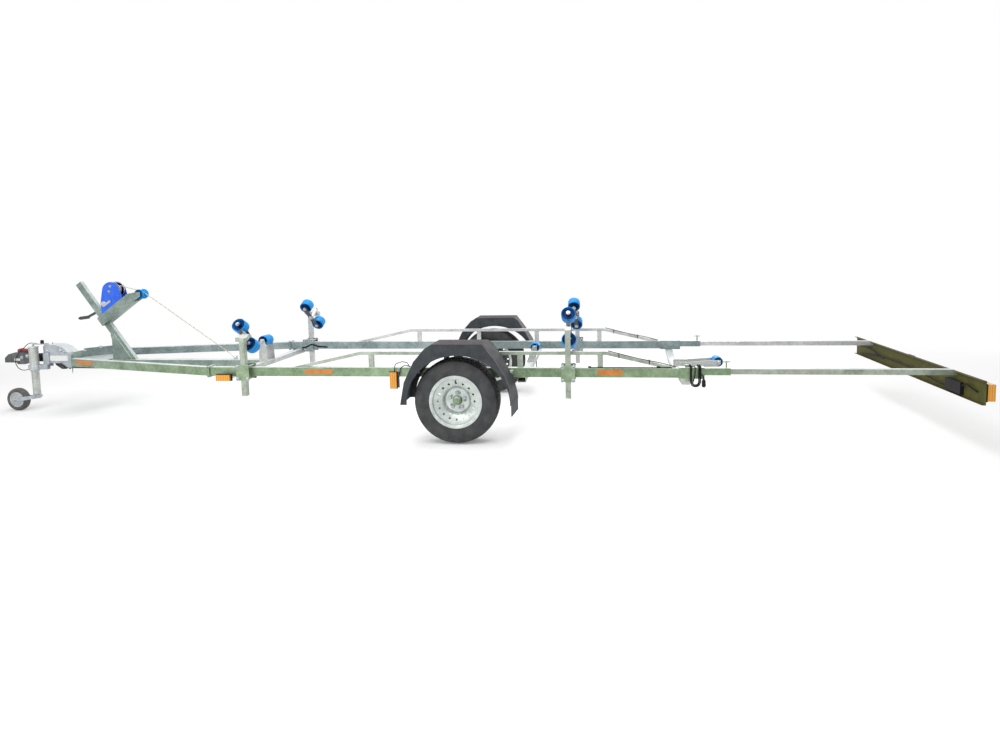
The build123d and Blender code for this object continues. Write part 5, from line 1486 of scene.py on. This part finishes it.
@dataclass
class WinchStand:
    """The winch on its post: cheeks, wound drum, crank, the rope and its hook."""

    drum: Place = (-3353.0, 1108.0)
    drum_half: float = 26.0
    wound: float = 42.0
    flange: float = 68.0
    cheek_face: float = 39.0
    pinion: Place = (-3446.0, 980.0)
    screws: tuple[Place, ...] = ((-3369.0, 1139.0), (-3383.0, 1091.0))
    grip: Place = (-3800.0, 838.0)
    grip_start: float = 78.0
    grip_length: float = 100.0
    grip_ribs: int = 9
    crank_boss: float = 86.0
    rope_radius: float = 3.5
    rope_length: float = 1.28
    rope_route: tuple[Point, ...] = (
        (0.0, -3347.0, 1154.0), (0.0, -3099.923, 1093.943), (0.0, -3074.149, 1083.003),
        (0.0, -2258.585, 507.521))
    turns: int = 7

    def winding(self) -> None:
        """Turns of rope wound on the drum, and the drum's bright flanges."""
        y, z = self.drum
        shape = Shape().use(ROPE)
        spread = self.drum_half - self.rope_radius
        for turn in range(self.turns):
            x = -spread + 2 * spread * turn / (self.turns - 1)
            round_rope = [(self.rope_radius * math.cos(a), self.wound - 1.5 + self.rope_radius * math.sin(a))
                          for a in (2 * math.pi * k / 8 for k in range(8))]
            shape.turned(round_rope, (x, y, z), (1, 0, 0), steps=40, closed=True)
        shape.use(ZINC_BRIGHT)
        for way in (1, -1):
            face, rim = self.drum_half, self.flange
            profile = ((face, 28.0), (face, rim), (face + 1.5, rim + 2.4), (face + 4.4, rim + 2.4),
                       (face + 5.0, rim - 4.0), (face + 5.0, 28.0))
            shape.turned(profile, (0.0, y, z), (way, 0, 0), steps=56)
        shape.piece("wound_rope", "chassis")

    def fittings(self) -> None:
        """Screws of the cheeks, and the pawl with its pin and the shaft's bearing ring on the left one."""
        shape = Shape().use(ZINC_BRIGHT)
        face = self.cheek_face
        for y, z in self.screws:
            shape.bolt((face, y, z), (1, 0, 0), size=10.0, height=9.0, tail=4.0, turn=12.0)
            shape.bolt((-face, y, z), (-1, 0, 0), size=10.0, height=9.0, turn=12.0)
        y, z = self.pinion
        ring = ((0.0, 10.0), (0.0, 24.0), (3.0, 26.0), (6.0, 24.0), (6.0, 10.0))
        shape.turned(ring, (face, y, z), (1, 0, 0), steps=32)
        shape.rod((face, y, z), (face + 9.0, y, z), 9.0, steps=20, round_edge=1.0)
        outline = ((y + 22, z + 8), (y + 60, z + 34), (y + 74, z + 30), (y + 78, z + 16), (y + 62, z + 10),
                   (y + 24, z - 14))
        shape.side_plate(outline, face + 0.5, face + 5.5)
        shape.bolt((face + 5.5, y + 66, z + 22), (1, 0, 0), size=8.0, height=7.0)
        shape.piece("winch_fittings", "chassis", bevel=0.0008)

    def crank(self) -> None:
        """The crank with rounded edges and its ribbed grip."""
        softened("winch_crank", 0.002, BLACK_STEEL)
        y, z = self.grip
        start, length = -self.grip_start - 2.0, self.grip_length - 2.5
        profile = [(0.0, 9.0), (0.0, 14.6)]
        for rib in range(self.grip_ribs):
            along = length * (rib + 0.5) / self.grip_ribs
            profile += [(along - 3.6, 15.4), (along, 14.2), (along + 3.6, 15.4)]
        profile += [(length - 1.0, 13.5), (length, 9.0), (length, 0.0)]
        shape = Shape().use(BLACK_RUBBER)
        shape.turned(profile, (start, y, z), (-1, 0, 0), steps=28)
        shape.use(ZINC_BRIGHT)
        py, pz = self.pinion
        shape.bolt((-self.crank_boss, py, pz), (-1, 0, 0), size=12.0, height=9.0, turn=8.0)
        shape.piece("crank_grip", "winch_crank", bevel=0.0006)

    def rope(self) -> None:
        """Lay the taut rope from the drum over the bow roller to its hook."""
        line = smooth_route("rope_line", self.rope_route, self.rope_radius, "chassis", ROPE)
        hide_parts("winch_rope")
        hook = softened("rope_hook", 0.0015, ZINC_BRIGHT)

    def build(self) -> None:
        """Dress the winch stand."""
        softened("winch_reel", 0.0015, WINCH_BLUE)
        self.winding()
        self.fittings()
        self.crank()
        self.rope()
        log.info("winch stand")


@dataclass
class Coupling:
    """The ball coupling, the overrun housing with its gaiter, the brake rod and the breakaway cable."""

    side_face: float = 38.0
    housing_face: float = 58.0
    label_depth: float = 0.5
    housing_label: tuple[Place, Place] = ((-4012.0, -3832.0), (458.0, 508.0))
    head_label: tuple[Place, Place] = ((-4400.0, -4340.0), (455.0, 478.0))
    nipple: Point = (0.0, -4030.0, 612.0)
    side_bolts: tuple[Place, ...] = ((-4040.0, 548.0), (-4040.0, 470.0), (-3860.0, 540.0), (-3900.0, 552.0))
    collar_bolts: tuple[Place, ...] = ((-4265.0, 500.0), (-4320.0, 486.0))
    brake_lever: tuple[Place, ...] = ((-4020.0, 438.0), (-3930.0, 438.0), (-3905.0, 402.0), (-3905.0, 372.0),
                                      (-3950.0, 372.0), (-4008.0, 410.0))
    brake_rod: tuple[Point, ...] = ((0.0, -3920.0, 384.0), (0.0, -3300.0, 380.0), (0.0, -200.0, 385.0))
    rod_radius: float = 5.0
    cable_radius: float = 3.0
    cable_length: float = 0.79
    cable_route: tuple[Point, ...] = (
        (42, -4059, 615), (42, -4102, 615), (43, -4148, 616), (47, -4192, 628), (51, -4236, 616),
        (53, -4272, 583), (53, -4308, 552), (53, -4342, 520), (53, -4368, 486), (53, -4377, 448),
        (53, -4368, 410), (52, -4342, 380), (50, -4303, 366), (47, -4262, 373), (42, -4222, 390),
        (35, -4184, 403), (27, -4145, 401), (25, -4107, 408), (24, -4073, 414), (24, -4043, 414))

    def housing(self) -> None:
        """The housing and its gaiter, with the housing's bolts, blank label and grease nipple."""
        softened("overrun_unit", 0.004, ZINC_BRIGHT)
        softened("overrun_bellows", 0.002, BLACK_RUBBER, angle=60.0)
        shape = Shape().use(LABEL)
        face = self.housing_face
        shape.slab(1, (face, face + self.label_depth), *self.housing_label)
        shape.use(ZINC_BRIGHT)
        for way in (1, -1):
            for y, z in self.side_bolts:
                shape.bolt((way * face, y, z), (way, 0, 0), size=11.0, height=9.0, tail=5.0, turn=16.0)
        shape.use(ZINC)
        profile = ((0, 0), (0, 5.0), (6, 5.0), (9, 2.6), (13, 3.4), (15, 0))
        shape.turned(profile, self.nipple, (0, 0, 1), steps=14)
        shape.piece("housing_fittings", "chassis", bevel=0.0006)

    def head(self) -> None:
        """The coupling head and its handle, with the head's bolts and blank label."""
        softened("coupling_head", 0.005, COUPLING_GREY)
        softened("coupling_handle", 0.004, HANDLE_RED)
        shape = Shape().use(ZINC_BRIGHT)
        for y, z in self.collar_bolts:
            for way in (1, -1):
                shape.bolt((way * self.side_face, y, z), (way, 0, 0), size=12.0, height=9.0, tail=6.0,
                           turn=10.0)
        shape.use(LABEL)
        shape.slab(1, (self.side_face, self.side_face + self.label_depth), *self.head_label)
        shape.piece("coupling_bolts", "chassis", bevel=0.0006)

    def brake(self) -> None:
        """The brake lever under the housing and the rod back to the axle, with its guide."""
        shape = Shape().use(BLACK_STEEL)
        shape.side_plate(self.brake_lever, -6.0, 6.0)
        shape.rod((-12.0, -3928.0, 388.0), (12.0, -3928.0, 388.0), 8.0)
        for start, end in zip(self.brake_rod, self.brake_rod[1:]):
            shape.rod(start, end, self.rod_radius, steps=12)
        shape.use(ZINC)
        shape.box((-9.0, -3310.0, 374.0), (9.0, -3290.0, 396.0))
        shape.box((-14.0, -262.0, 372.0), (14.0, -200.0, 398.0))
        shape.bolt((0.0, -3870.0, 384.0), (0, -1, 0), size=11.0, height=12.0)
        shape.piece("brake_linkage", "chassis", bevel=0.0008)

    def breakaway_cable(self) -> None:
        """Lay the breakaway cable between its two lugs."""
        line = smooth_route("breakaway_line", self.cable_route, self.cable_radius, "chassis", CABLE_SHEATH)
        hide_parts("breakaway_cable")

    def build(self) -> None:
        """Dress the front end."""
        self.housing()
        self.head()
        self.brake()
        self.breakaway_cable()
        log.info("coupling")


@dataclass
class SupportWheel:
    """The support wheel at the front with its tube, clamp and crank."""

    x: float = 92.0
    station: float = -4140.0
    tube_top: float = 590.0
    crank_reach: float = 105.0
    crank_rise: float = 26.0
    wheel_station: float = -4332.0
    wheel_height: float = 105.0
    wheel_half: float = 28.0
    fork_wall: float = 11.5
    nodes: tuple[tuple[str, Finish, float], ...] = (
        ("support_clamp", ZINC_BRIGHT, 0.002), ("support_tube", ZINC_PALE, 0.0015),
        ("support_leg", ZINC_PALE, 0.0015), ("support_fork", ZINC_BRIGHT, 0.0015),
        ("support_rim", RIM_WHITE, 0.002), ("support_tyre", SMALL_TYRE, 0.003),
    )

    def crank_trim(self) -> None:
        """The crank's knob, its nut and the cap of the tube."""
        up = (0, 0, 1)
        crank = self.tube_top + self.crank_rise
        shape = Shape().use(BLACK_RUBBER)
        knob = (self.x, self.station + self.crank_reach - 10.0, crank + 7.0)
        profile = ((0, 0), (0, 10.0), (3, 13.4), (18, 14.0), (32, 12.8), (35.4, 9.0), (36.4, 0))
        shape.turned(profile, knob, up, steps=24)
        shape.use(ZINC_BRIGHT)
        shape.bolt((self.x, self.station, crank + 8.0), up, size=11.0, height=9.0)
        cap = (self.x, self.station, self.tube_top - 1.0)
        shape.turned(((0, 0), (0, 40.0), (3, 41.0), (7, 41.0), (10, 38.0), (10, 12.0)), cap, up, steps=36)
        shape.piece("support_crank_trim", "chassis", bevel=0.0008)

    def axle_nuts(self) -> None:
        """The nuts on the ends of the wheel's axle."""
        shape = Shape().use(ZINC_BRIGHT)
        for way in (1, -1):
            x = self.x + way * (self.wheel_half + self.fork_wall)
            shape.bolt((x, self.wheel_station, self.wheel_height), (way, 0, 0), size=13.0, height=9.0,
                       tail=4.0, turn=9.0)
        shape.piece("support_axle_nuts", "support_fork", bevel=0.0006)

    def build(self) -> None:
        """Dress the support wheel."""
        for node, finish, width in self.nodes:
            softened(node, width, finish, angle=30.0)
        self.crank_trim()
        self.axle_nuts()
        log.info("support wheel")


@dataclass
class Mudguard:
    """The trim of one mudguard: the raised edge down its rear slope, pale as a painted highlight, and the
    bolts of its lugs.
    """

    side: Side
    inner: float = 705.0
    outer: float = 941.0
    ridge: float = 2.6
    rear_slope: tuple[Place, ...] = (
        (217.0, 744.0), (262.0, 685.0), (307.0, 624.0), (375.0, 512.0), (404.0, 440.0), (417.0, 305.0))
    lug_stations: tuple[float, ...] = (-318.0, 385.0)
    lug_height: float = 498.0
    lug_depth: float = 4.0

    def build(self) -> None:
        """Build the raised edge, pale as a painted highlight, and the bolts."""
        way = self.side.value
        # The raised edge's pale colour is a painted highlight.
        shape = Shape().use(GUARD_EDGE_HIGHLIGHT)
        line = [(way * self.outer, station, height) for station, height in self.rear_slope]
        for start, end in zip(line, line[1:]):
            shape.rod(start, end, self.ridge, steps=10, round_edge=0.5)
        shape.use(ZINC_BRIGHT)
        for station in self.lug_stations:
            seat = (way * (self.inner + self.lug_depth), station, self.lug_height)
            shape.bolt(seat, (way, 0, 0), size=9.0, height=7.0, tail=4.0)
        shape.piece(f"{self.side.name.lower()}_guard_trim", "chassis")


@dataclass
class LampCable:
    """The lamp cable, folded into a hank over the left rail, and its plug."""

    radius: float = 3.5
    exit: Point = (650.0, 1682.0, 535.0)
    lead: tuple[Point, ...] = ((650.0, 1694.0, 535.0), (652.0, 1707.0, 535.0), (664.0, 1720.0, 538.0))
    folds: Place = (691.5, 608.5)
    fold_heights: Place = (430.0, 505.0)
    fold_rises: Place = (40.0, 12.0)
    top: float = 543.0
    corner: Place = (12.3, 12.3)
    first_station: float = 1722.0
    middle: float = 1725.0
    first_half: float = 22.0
    step: float = 7.3
    turns: float = 2.6
    plug_top: Point = (697.0, 1782.0, 445.0)
    plug_radius: float = 14.0
    plug_length: float = 52.0
    length: float = 2.0

    def low_turn(self, leg: float, way: int, width: float) -> list[Point]:
        """The points of a half turn at the low end of a leg of the hank.

        Args:
            leg: The leg's distance from the middle plane.
            way: 1 where the turn runs to the rear, -1 where it runs to the front.
            width: Half the turn's width.

        Returns:
            The points in millimetres.
        """
        outer = leg == self.folds[0]
        low = self.fold_heights[0 if outer else 1]
        reach = width / math.cos(math.radians(22.5))
        points = []
        for turn in (math.radians(angle) for angle in (22.5, 67.5, 112.5, 157.5)):
            points.append((leg, self.middle - way * reach * math.cos(turn), low - reach * math.sin(turn)))
        return points + [(leg, self.middle + way * width, low + self.fold_rises[0 if outer else 1])]

    def top_run(self, leg: float, beyond: float, side: float) -> list[Point]:
        """The points of a run over the rail, from one leg of the hank to the other.

        Args:
            leg: Distance of the first leg from the middle plane.
            beyond: Distance of the other leg.
            side: The run's station.

        Returns:
            The points in millimetres.
        """
        sign = 1 if beyond > leg else -1
        cut_x, cut_z = self.corner
        return [(leg, side, self.top - cut_z), (leg + sign * cut_x, side, self.top),
                (0.5 * (leg + beyond), side, self.top), (beyond - sign * cut_x, side, self.top),
                (beyond, side, self.top - cut_z)]

    def route(self) -> list[Point]:
        """The cable's points, from the clip through the folded turns to the plug.

        Returns:
            The points in millimetres.
        """
        outer, inner = self.folds
        cut_x, cut_z = self.corner
        points = [self.exit, *self.lead, (outer - cut_x, self.first_station, self.top),
                  (outer, self.first_station, self.top - cut_z), (outer, self.first_station, 470.0)]
        for quarter in range(math.ceil(4 * self.turns)):
            width = self.first_half + self.step * quarter / 4
            leg, beyond = (outer, inner) if quarter % 4 < 2 else (inner, outer)
            way = 1 if quarter % 4 < 2 else -1
            if quarter % 2 == 0:
                points += self.low_turn(leg, way, width)
            else:
                points += self.top_run(leg, beyond, self.middle + way * width)
        x, y, z = self.plug_top
        into_plug = [(x - 2.0, y - 14.0, z + 40.0), (x, y - 3.0, z + 28.0), (x, y, z + 14.0), self.plug_top]
        return points + into_plug

    def plug(self) -> bpy.types.Object:
        """Build the plug in place of its plain block.

        Returns:
            The plug's piece.
        """
        x, y, z = self.plug_top
        r, long = self.plug_radius, self.plug_length
        boot = ((-16.0, 3.6), (-14.0, 5.6), (-6.0, 7.4), (0.0, 8.6), (2.0, 11.0))
        grip = ((6.0, r - 1.0), (9.0, r), (24.0, r), (25.0, r - 1.2), (27.0, r - 1.2), (28.0, r), (46.0, r))
        mouth = ((48.0, r - 2.0), (long, r - 2.0), (long, 9.0), (long - 6.0, 9.0), (long - 6.0, 0.0))
        shape = Shape().use(BLACK_RUBBER)
        shape.turned(boot + grip + mouth, self.plug_top, (0, 0, -1), steps=32)
        shape.box((x - 3.0, y + r - 1.5, z - 44.0), (x + 3.0, y + r + 1.2, z - 30.0))
        plug = shape.piece("lamp_plug_turned", "chassis")
        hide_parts("lamp_plug")
        return plug

    def build(self) -> None:
        """Lay the hank and dress the plug."""
        line = smooth_route("lamp_cable_line", self.route(), self.radius, "chassis", CABLE_SHEATH)
        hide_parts("lamp_cable_hank")
        plug = self.plug()
        log.info("lamp cable")


@dataclass
class Wiring:
    """Cables held close along the frame: on the over-bars, the rail, a side lamp and by a front post."""

    radius: float = 3.2
    overbar_run: tuple[Place, ...] = (
        (1100.0, 649.0), (1200.0, 623.0), (1330.0, 590.0), (1480.0, 561.0), (1590.0, 531.0))
    overbar_ties: tuple[Place, ...] = ((1180.0, 626.0), (1400.0, 578.0))
    post_run: tuple[Point, ...] = (
        (-621.0, -1640.0, 470.0), (-618.0, -1730.0, 474.0), (-612.0, -1800.0, 500.0),
        (-612.0, -1860.0, 470.0), (-618.0, -1900.0, 462.0))
    post_cables: tuple[Place, ...] = ((0.0, 0.0), (2.1, 7.0))
    rail_run: tuple[Point, ...] = (
        (669.0, 960.0, 528.6), (669.0, 1042.0, 528.2), (666.0, 1240.0, 528.2), (670.0, 1464.0, 528.6),
        (668.0, 1560.0, 528.2))
    rail_knots: tuple[float, ...] = (966.0, 1464.0)
    lamp_loops: tuple[tuple[Point, ...], ...] = (
        ((668.0, -398.0, 528.2), (684.0, -412.0, 566.0), (688.0, -450.0, 574.0), (690.0, -505.0, 556.0),
         (690.0, -514.0, 500.0), (690.0, -506.0, 452.0)),
        ((668.0, -384.0, 528.2), (684.0, -430.0, 548.0), (688.0, -466.0, 524.0), (690.0, -470.0, 486.0),
         (690.0, -482.0, 452.0)),
    )

    def build(self) -> None:
        """Lay the wiring."""
        shape = Shape().use(CABLE_SHEATH)
        for x in (RAIL_CENTRE, -RAIL_CENTRE):
            shape.cable([(x, station, height) for station, height in self.overbar_run], self.radius)
            for station, height in self.overbar_ties:
                shape.box((x - 14.0, station - 3.0, height - 28.0), (x + 14.0, station + 3.0, height + 5.0))
        (x, station, height), *rest = self.post_run
        for shift, lift in self.post_cables:
            corners = [(x + shift, station, height), *rest]
            shape.cable([(x, station, height + lift) for x, station, height in corners], self.radius)
        shape.cable(self.rail_run, self.radius)
        for station in self.rail_knots:
            shape.box((660.0, station - 11.0, 525.4), (674.0, station + 11.0, 537.0))
        for loop in self.lamp_loops:
            shape.cable(loop, self.radius)
        shape.piece("frame_wiring", "chassis")
        log.info("wiring")


@dataclass
class LightBoard:
    """The lighting board with its lamp clusters, reflectors and number plate lamp."""

    station: float = 3506.0
    thickness: float = 3.0
    inner: float = 765.0
    outer: float = 985.0
    low: float = 369.0
    high: float = 487.0
    depth: float = 60.0
    housing_depth: float = 10.0
    housing_rim: float = 3.0
    window_gap: float = 0.5
    windows: tuple[tuple[Finish, float, float], ...] = (
        (AMBER, 0.0, 0.36), (RED, 0.36, 0.72), (CLEAR, 0.72, 1.0))
    plate_half: float = 45.0
    plate_low: float = 480.0
    plate_high: float = 504.0
    plate_depth: float = 30.0
    plate_wall: float = 8.0
    triangle: float = 38.0
    triangle_centre: Place = (700.0, 425.0)
    triangle_depth: float = 5.0
    back_box: tuple[Place, Place] = ((560.0, 745.0), (362.0, 446.0))
    back_box_depth: float = 24.0
    screws: tuple[float, ...] = (610.0, 690.0)
    screw_height: float = 440.0
    front_wires: tuple[tuple[Point, ...], ...] = (
        ((745.0, 3488.0, 420.0), (800.0, 3486.0, 452.0), (860.0, 3492.0, 430.0), (905.0, 3500.0, 418.0)),
        ((560.0, 3488.0, 380.0), (430.0, 3486.0, 392.0), (290.0, 3486.0, 404.0), (0.0, 3486.0, 420.0),
         (-313.0, 3486.0, 418.0), (-500.0, 3486.0, 404.0), (-860.0, 3490.0, 372.0)),
        ((-400.0, 3487.0, 402.0), (-600.0, 3487.0, 440.0), (-760.0, 3487.0, 452.0), (-880.0, 3492.0, 440.0)),
    )
    wire_radius: float = 6.0

    def clusters(self) -> None:
        """Lamp clusters and the plate lamp: black housings with amber, red and clear windows."""
        shape = Shape().use(BLACK_RUBBER)
        back, face = self.station, self.station + self.depth
        seam = back + self.housing_depth
        for way in (1, -1):
            shape.slab(way, (self.inner, self.outer), (back, seam), (self.low, self.high))
        half, wall = self.plate_half, self.plate_wall
        plate_face = back + self.plate_depth
        shape.box((-half, back, self.plate_low), (half, plate_face - 6.0, self.plate_high))
        rim, gap = self.housing_rim, self.window_gap
        width = self.outer - self.inner - 2 * rim
        heights = (self.low + rim, self.high - rim)
        for way in (1, -1):
            for finish, start, end in self.windows:
                near, far = self.outer - rim - width * end, self.outer - rim - width * start
                shape.use(finish)
                shape.slab(way, (near + gap, far - gap), (seam - 1.0, face - 1.0), heights)
        shape.use(CLEAR)
        window_top = self.plate_low + wall
        shape.box((-half + wall, back + 4.0, self.plate_low), (half - wall, plate_face - 1.0, window_top))
        lamps = shape.piece("lamp_clusters", "light_board", bevel=0.0025)
        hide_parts("board_lamps")

    def reflectors(self) -> None:
        """Red triangles between the clusters and the plate, screws, and the front side's box and wires."""
        shape = Shape().use(RED)
        x, z = self.triangle_centre
        turns = [2 * math.pi * k / 3 for k in range(3)]
        for way in (1, -1):
            corners = [Vector((way * x + self.triangle * math.sin(turn), self.station,
                               z + self.triangle * math.cos(turn))) for turn in turns]
            shape.prism(corners, Vector((0.0, self.triangle_depth, 0.0)))
        shape.use(BLACK_RUBBER)
        front = self.station - self.thickness
        across, up = self.back_box
        shape.slab(1, across, (front - self.back_box_depth, front), up)
        shape.use(CABLE_SHEATH)
        for wire in self.front_wires:
            shape.cable(wire, self.wire_radius)
        shape.use(ZINC_BRIGHT)
        for way in (1, -1):
            for x in self.screws:
                shape.bolt((way * x, self.station, self.screw_height), (0, 1, 0), size=8.0, height=6.0)
        shape.piece("board_fittings", "light_board", bevel=0.0008)

    def build(self) -> None:
        """Dress the board."""
        softened("lighting_board", 0.003, BOARD_OLIVE)
        self.clusters()
        self.reflectors()
        log.info("light board")


@dataclass
class SideLamps:
    """Amber marker lamps, the reflector lamps ahead of the guards and their black brackets."""

    inner: float = 675.0
    marker_face: float = 715.0
    marker_depth: float = 36.0
    marker_window: float = 16.0
    marker_half: float = 62.0
    marker_heights: Place = (428.0, 482.0)
    marker_rim: float = 5.0
    markers: tuple[tuple[int, float], ...] = ((1, -1870.0), (-1, -1986.0))
    bracket_back: float = 625.0
    bracket_half: float = 12.0
    bracket_heights: Place = (447.0, 455.0)
    lens_face: float = 679.0
    lens_depth: float = 16.0
    lens_station: float = -524.0
    lens_half: float = 31.0
    lens_heights: Place = (363.0, 495.0)
    lens_housing: float = 5.0
    lens_rim: float = 4.0

    def marker(self, shape: Shape, way: int, station: float) -> None:
        """Add a marker lamp on its bracket.

        Args:
            shape: The shape that takes it.
            way: 1 for the left side, -1 for the right.
            station: The lamp's middle.
        """
        face, front = self.marker_face, self.marker_face + self.marker_depth
        seam = front - self.marker_window
        start, end = station - self.marker_half, station + self.marker_half
        low, high = self.marker_heights
        rim = self.marker_rim
        shape.use(BLACK_RUBBER)
        shape.slab(way, (face, seam), (start, end), (low, high))
        shape.use(BLACK_STEEL)
        stations = (station - self.bracket_half, station + self.bracket_half)
        shape.slab(way, (self.bracket_back, face), stations, self.bracket_heights)
        shape.use(AMBER)
        shape.slab(way, (seam - 0.5, front), (start + rim, end - rim), (low + rim, high - rim))

    def reflector(self, shape: Shape, way: int) -> None:
        """Add the reflector lamp ahead of a guard.

        Args:
            shape: The shape that takes it.
            way: 1 for the left side, -1 for the right.
        """
        face = self.lens_face
        start, end = self.lens_station - self.lens_half, self.lens_station + self.lens_half
        low, high = self.lens_heights
        rim = self.lens_rim
        shape.use(BLACK_STEEL)
        shape.slab(way, (self.inner, face), (start + 8.0, end + 14.0), (low + 8.0, high))
        shape.use(BLACK_RUBBER)
        shape.slab(way, (face, face + self.lens_housing), (start, end), (low, high))
        shape.use(AMBER)
        depth = (face + self.lens_housing - 1.0, face + self.lens_depth)
        shape.slab(way, depth, (start + rim, end - rim), (low + rim, high - rim))

    def build(self) -> None:
        """Dress the side lamps."""
        shape = Shape()
        for way, station in self.markers:
            self.marker(shape, way, station)
        for way in (1, -1):
            self.reflector(shape, way)
        lamps = shape.piece("side_lamp_units", "chassis", bevel=0.0015)
        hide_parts("side_lamps")
        log.info("side lamps")


@dataclass
class BrakeParts:
    """The backplates of the wheels' brake drums."""

    drum_inner: float = 676.0
    plate_radius: float = 112.0
    hole_radius: float = 30.0
    axle_height: float = 314.0

    def build(self) -> None:
        """Build the backplates."""
        shape = Shape().use(BLACK_STEEL)
        edge, hole = self.plate_radius - 2.0, self.hole_radius
        profile = ((-4.0, hole), (-4.0, edge - 6.0), (-1.0, edge), (1.5, edge), (1.5, hole))
        for way in (1, -1):
            centre = (way * (self.drum_inner - 2.0), 0.0, self.axle_height)
            shape.turned(profile, centre, (way, 0, 0), steps=48)
        shape.piece("drum_backplates", "chassis")
        log.info("brake parts")


def finish_nodes() -> None:
    """Give every CAD node the finish of its slot."""
    for part in frame["record"]["subparts"]:
        materials = frame["nodes"][part["node"]].data.materials
        materials.clear()
        materials.append(FINISH_OF_SLOT[part["material_slot"]].material())


def main() -> None:
    """Build every sub-assembly in order."""
    logging.basicConfig(level=logging.INFO, format="%(name)s: %(message)s")
    Studio().build()
    finish_nodes()
    Steelwork().build()
    for side in Side:
        RoadWheel(side).build()
        Mudguard(side).build()
    softened("mudguards", 0.006, GUARD_PLASTIC)
    RollerCradle().build()
    WinchStand().build()
    Coupling().build()
    SupportWheel().build()
    LightBoard().build()
    SideLamps().build()
    LampCable().build()
    Wiring().build()
    BrakeParts().build()


if __name__ == "__main__":
    main()
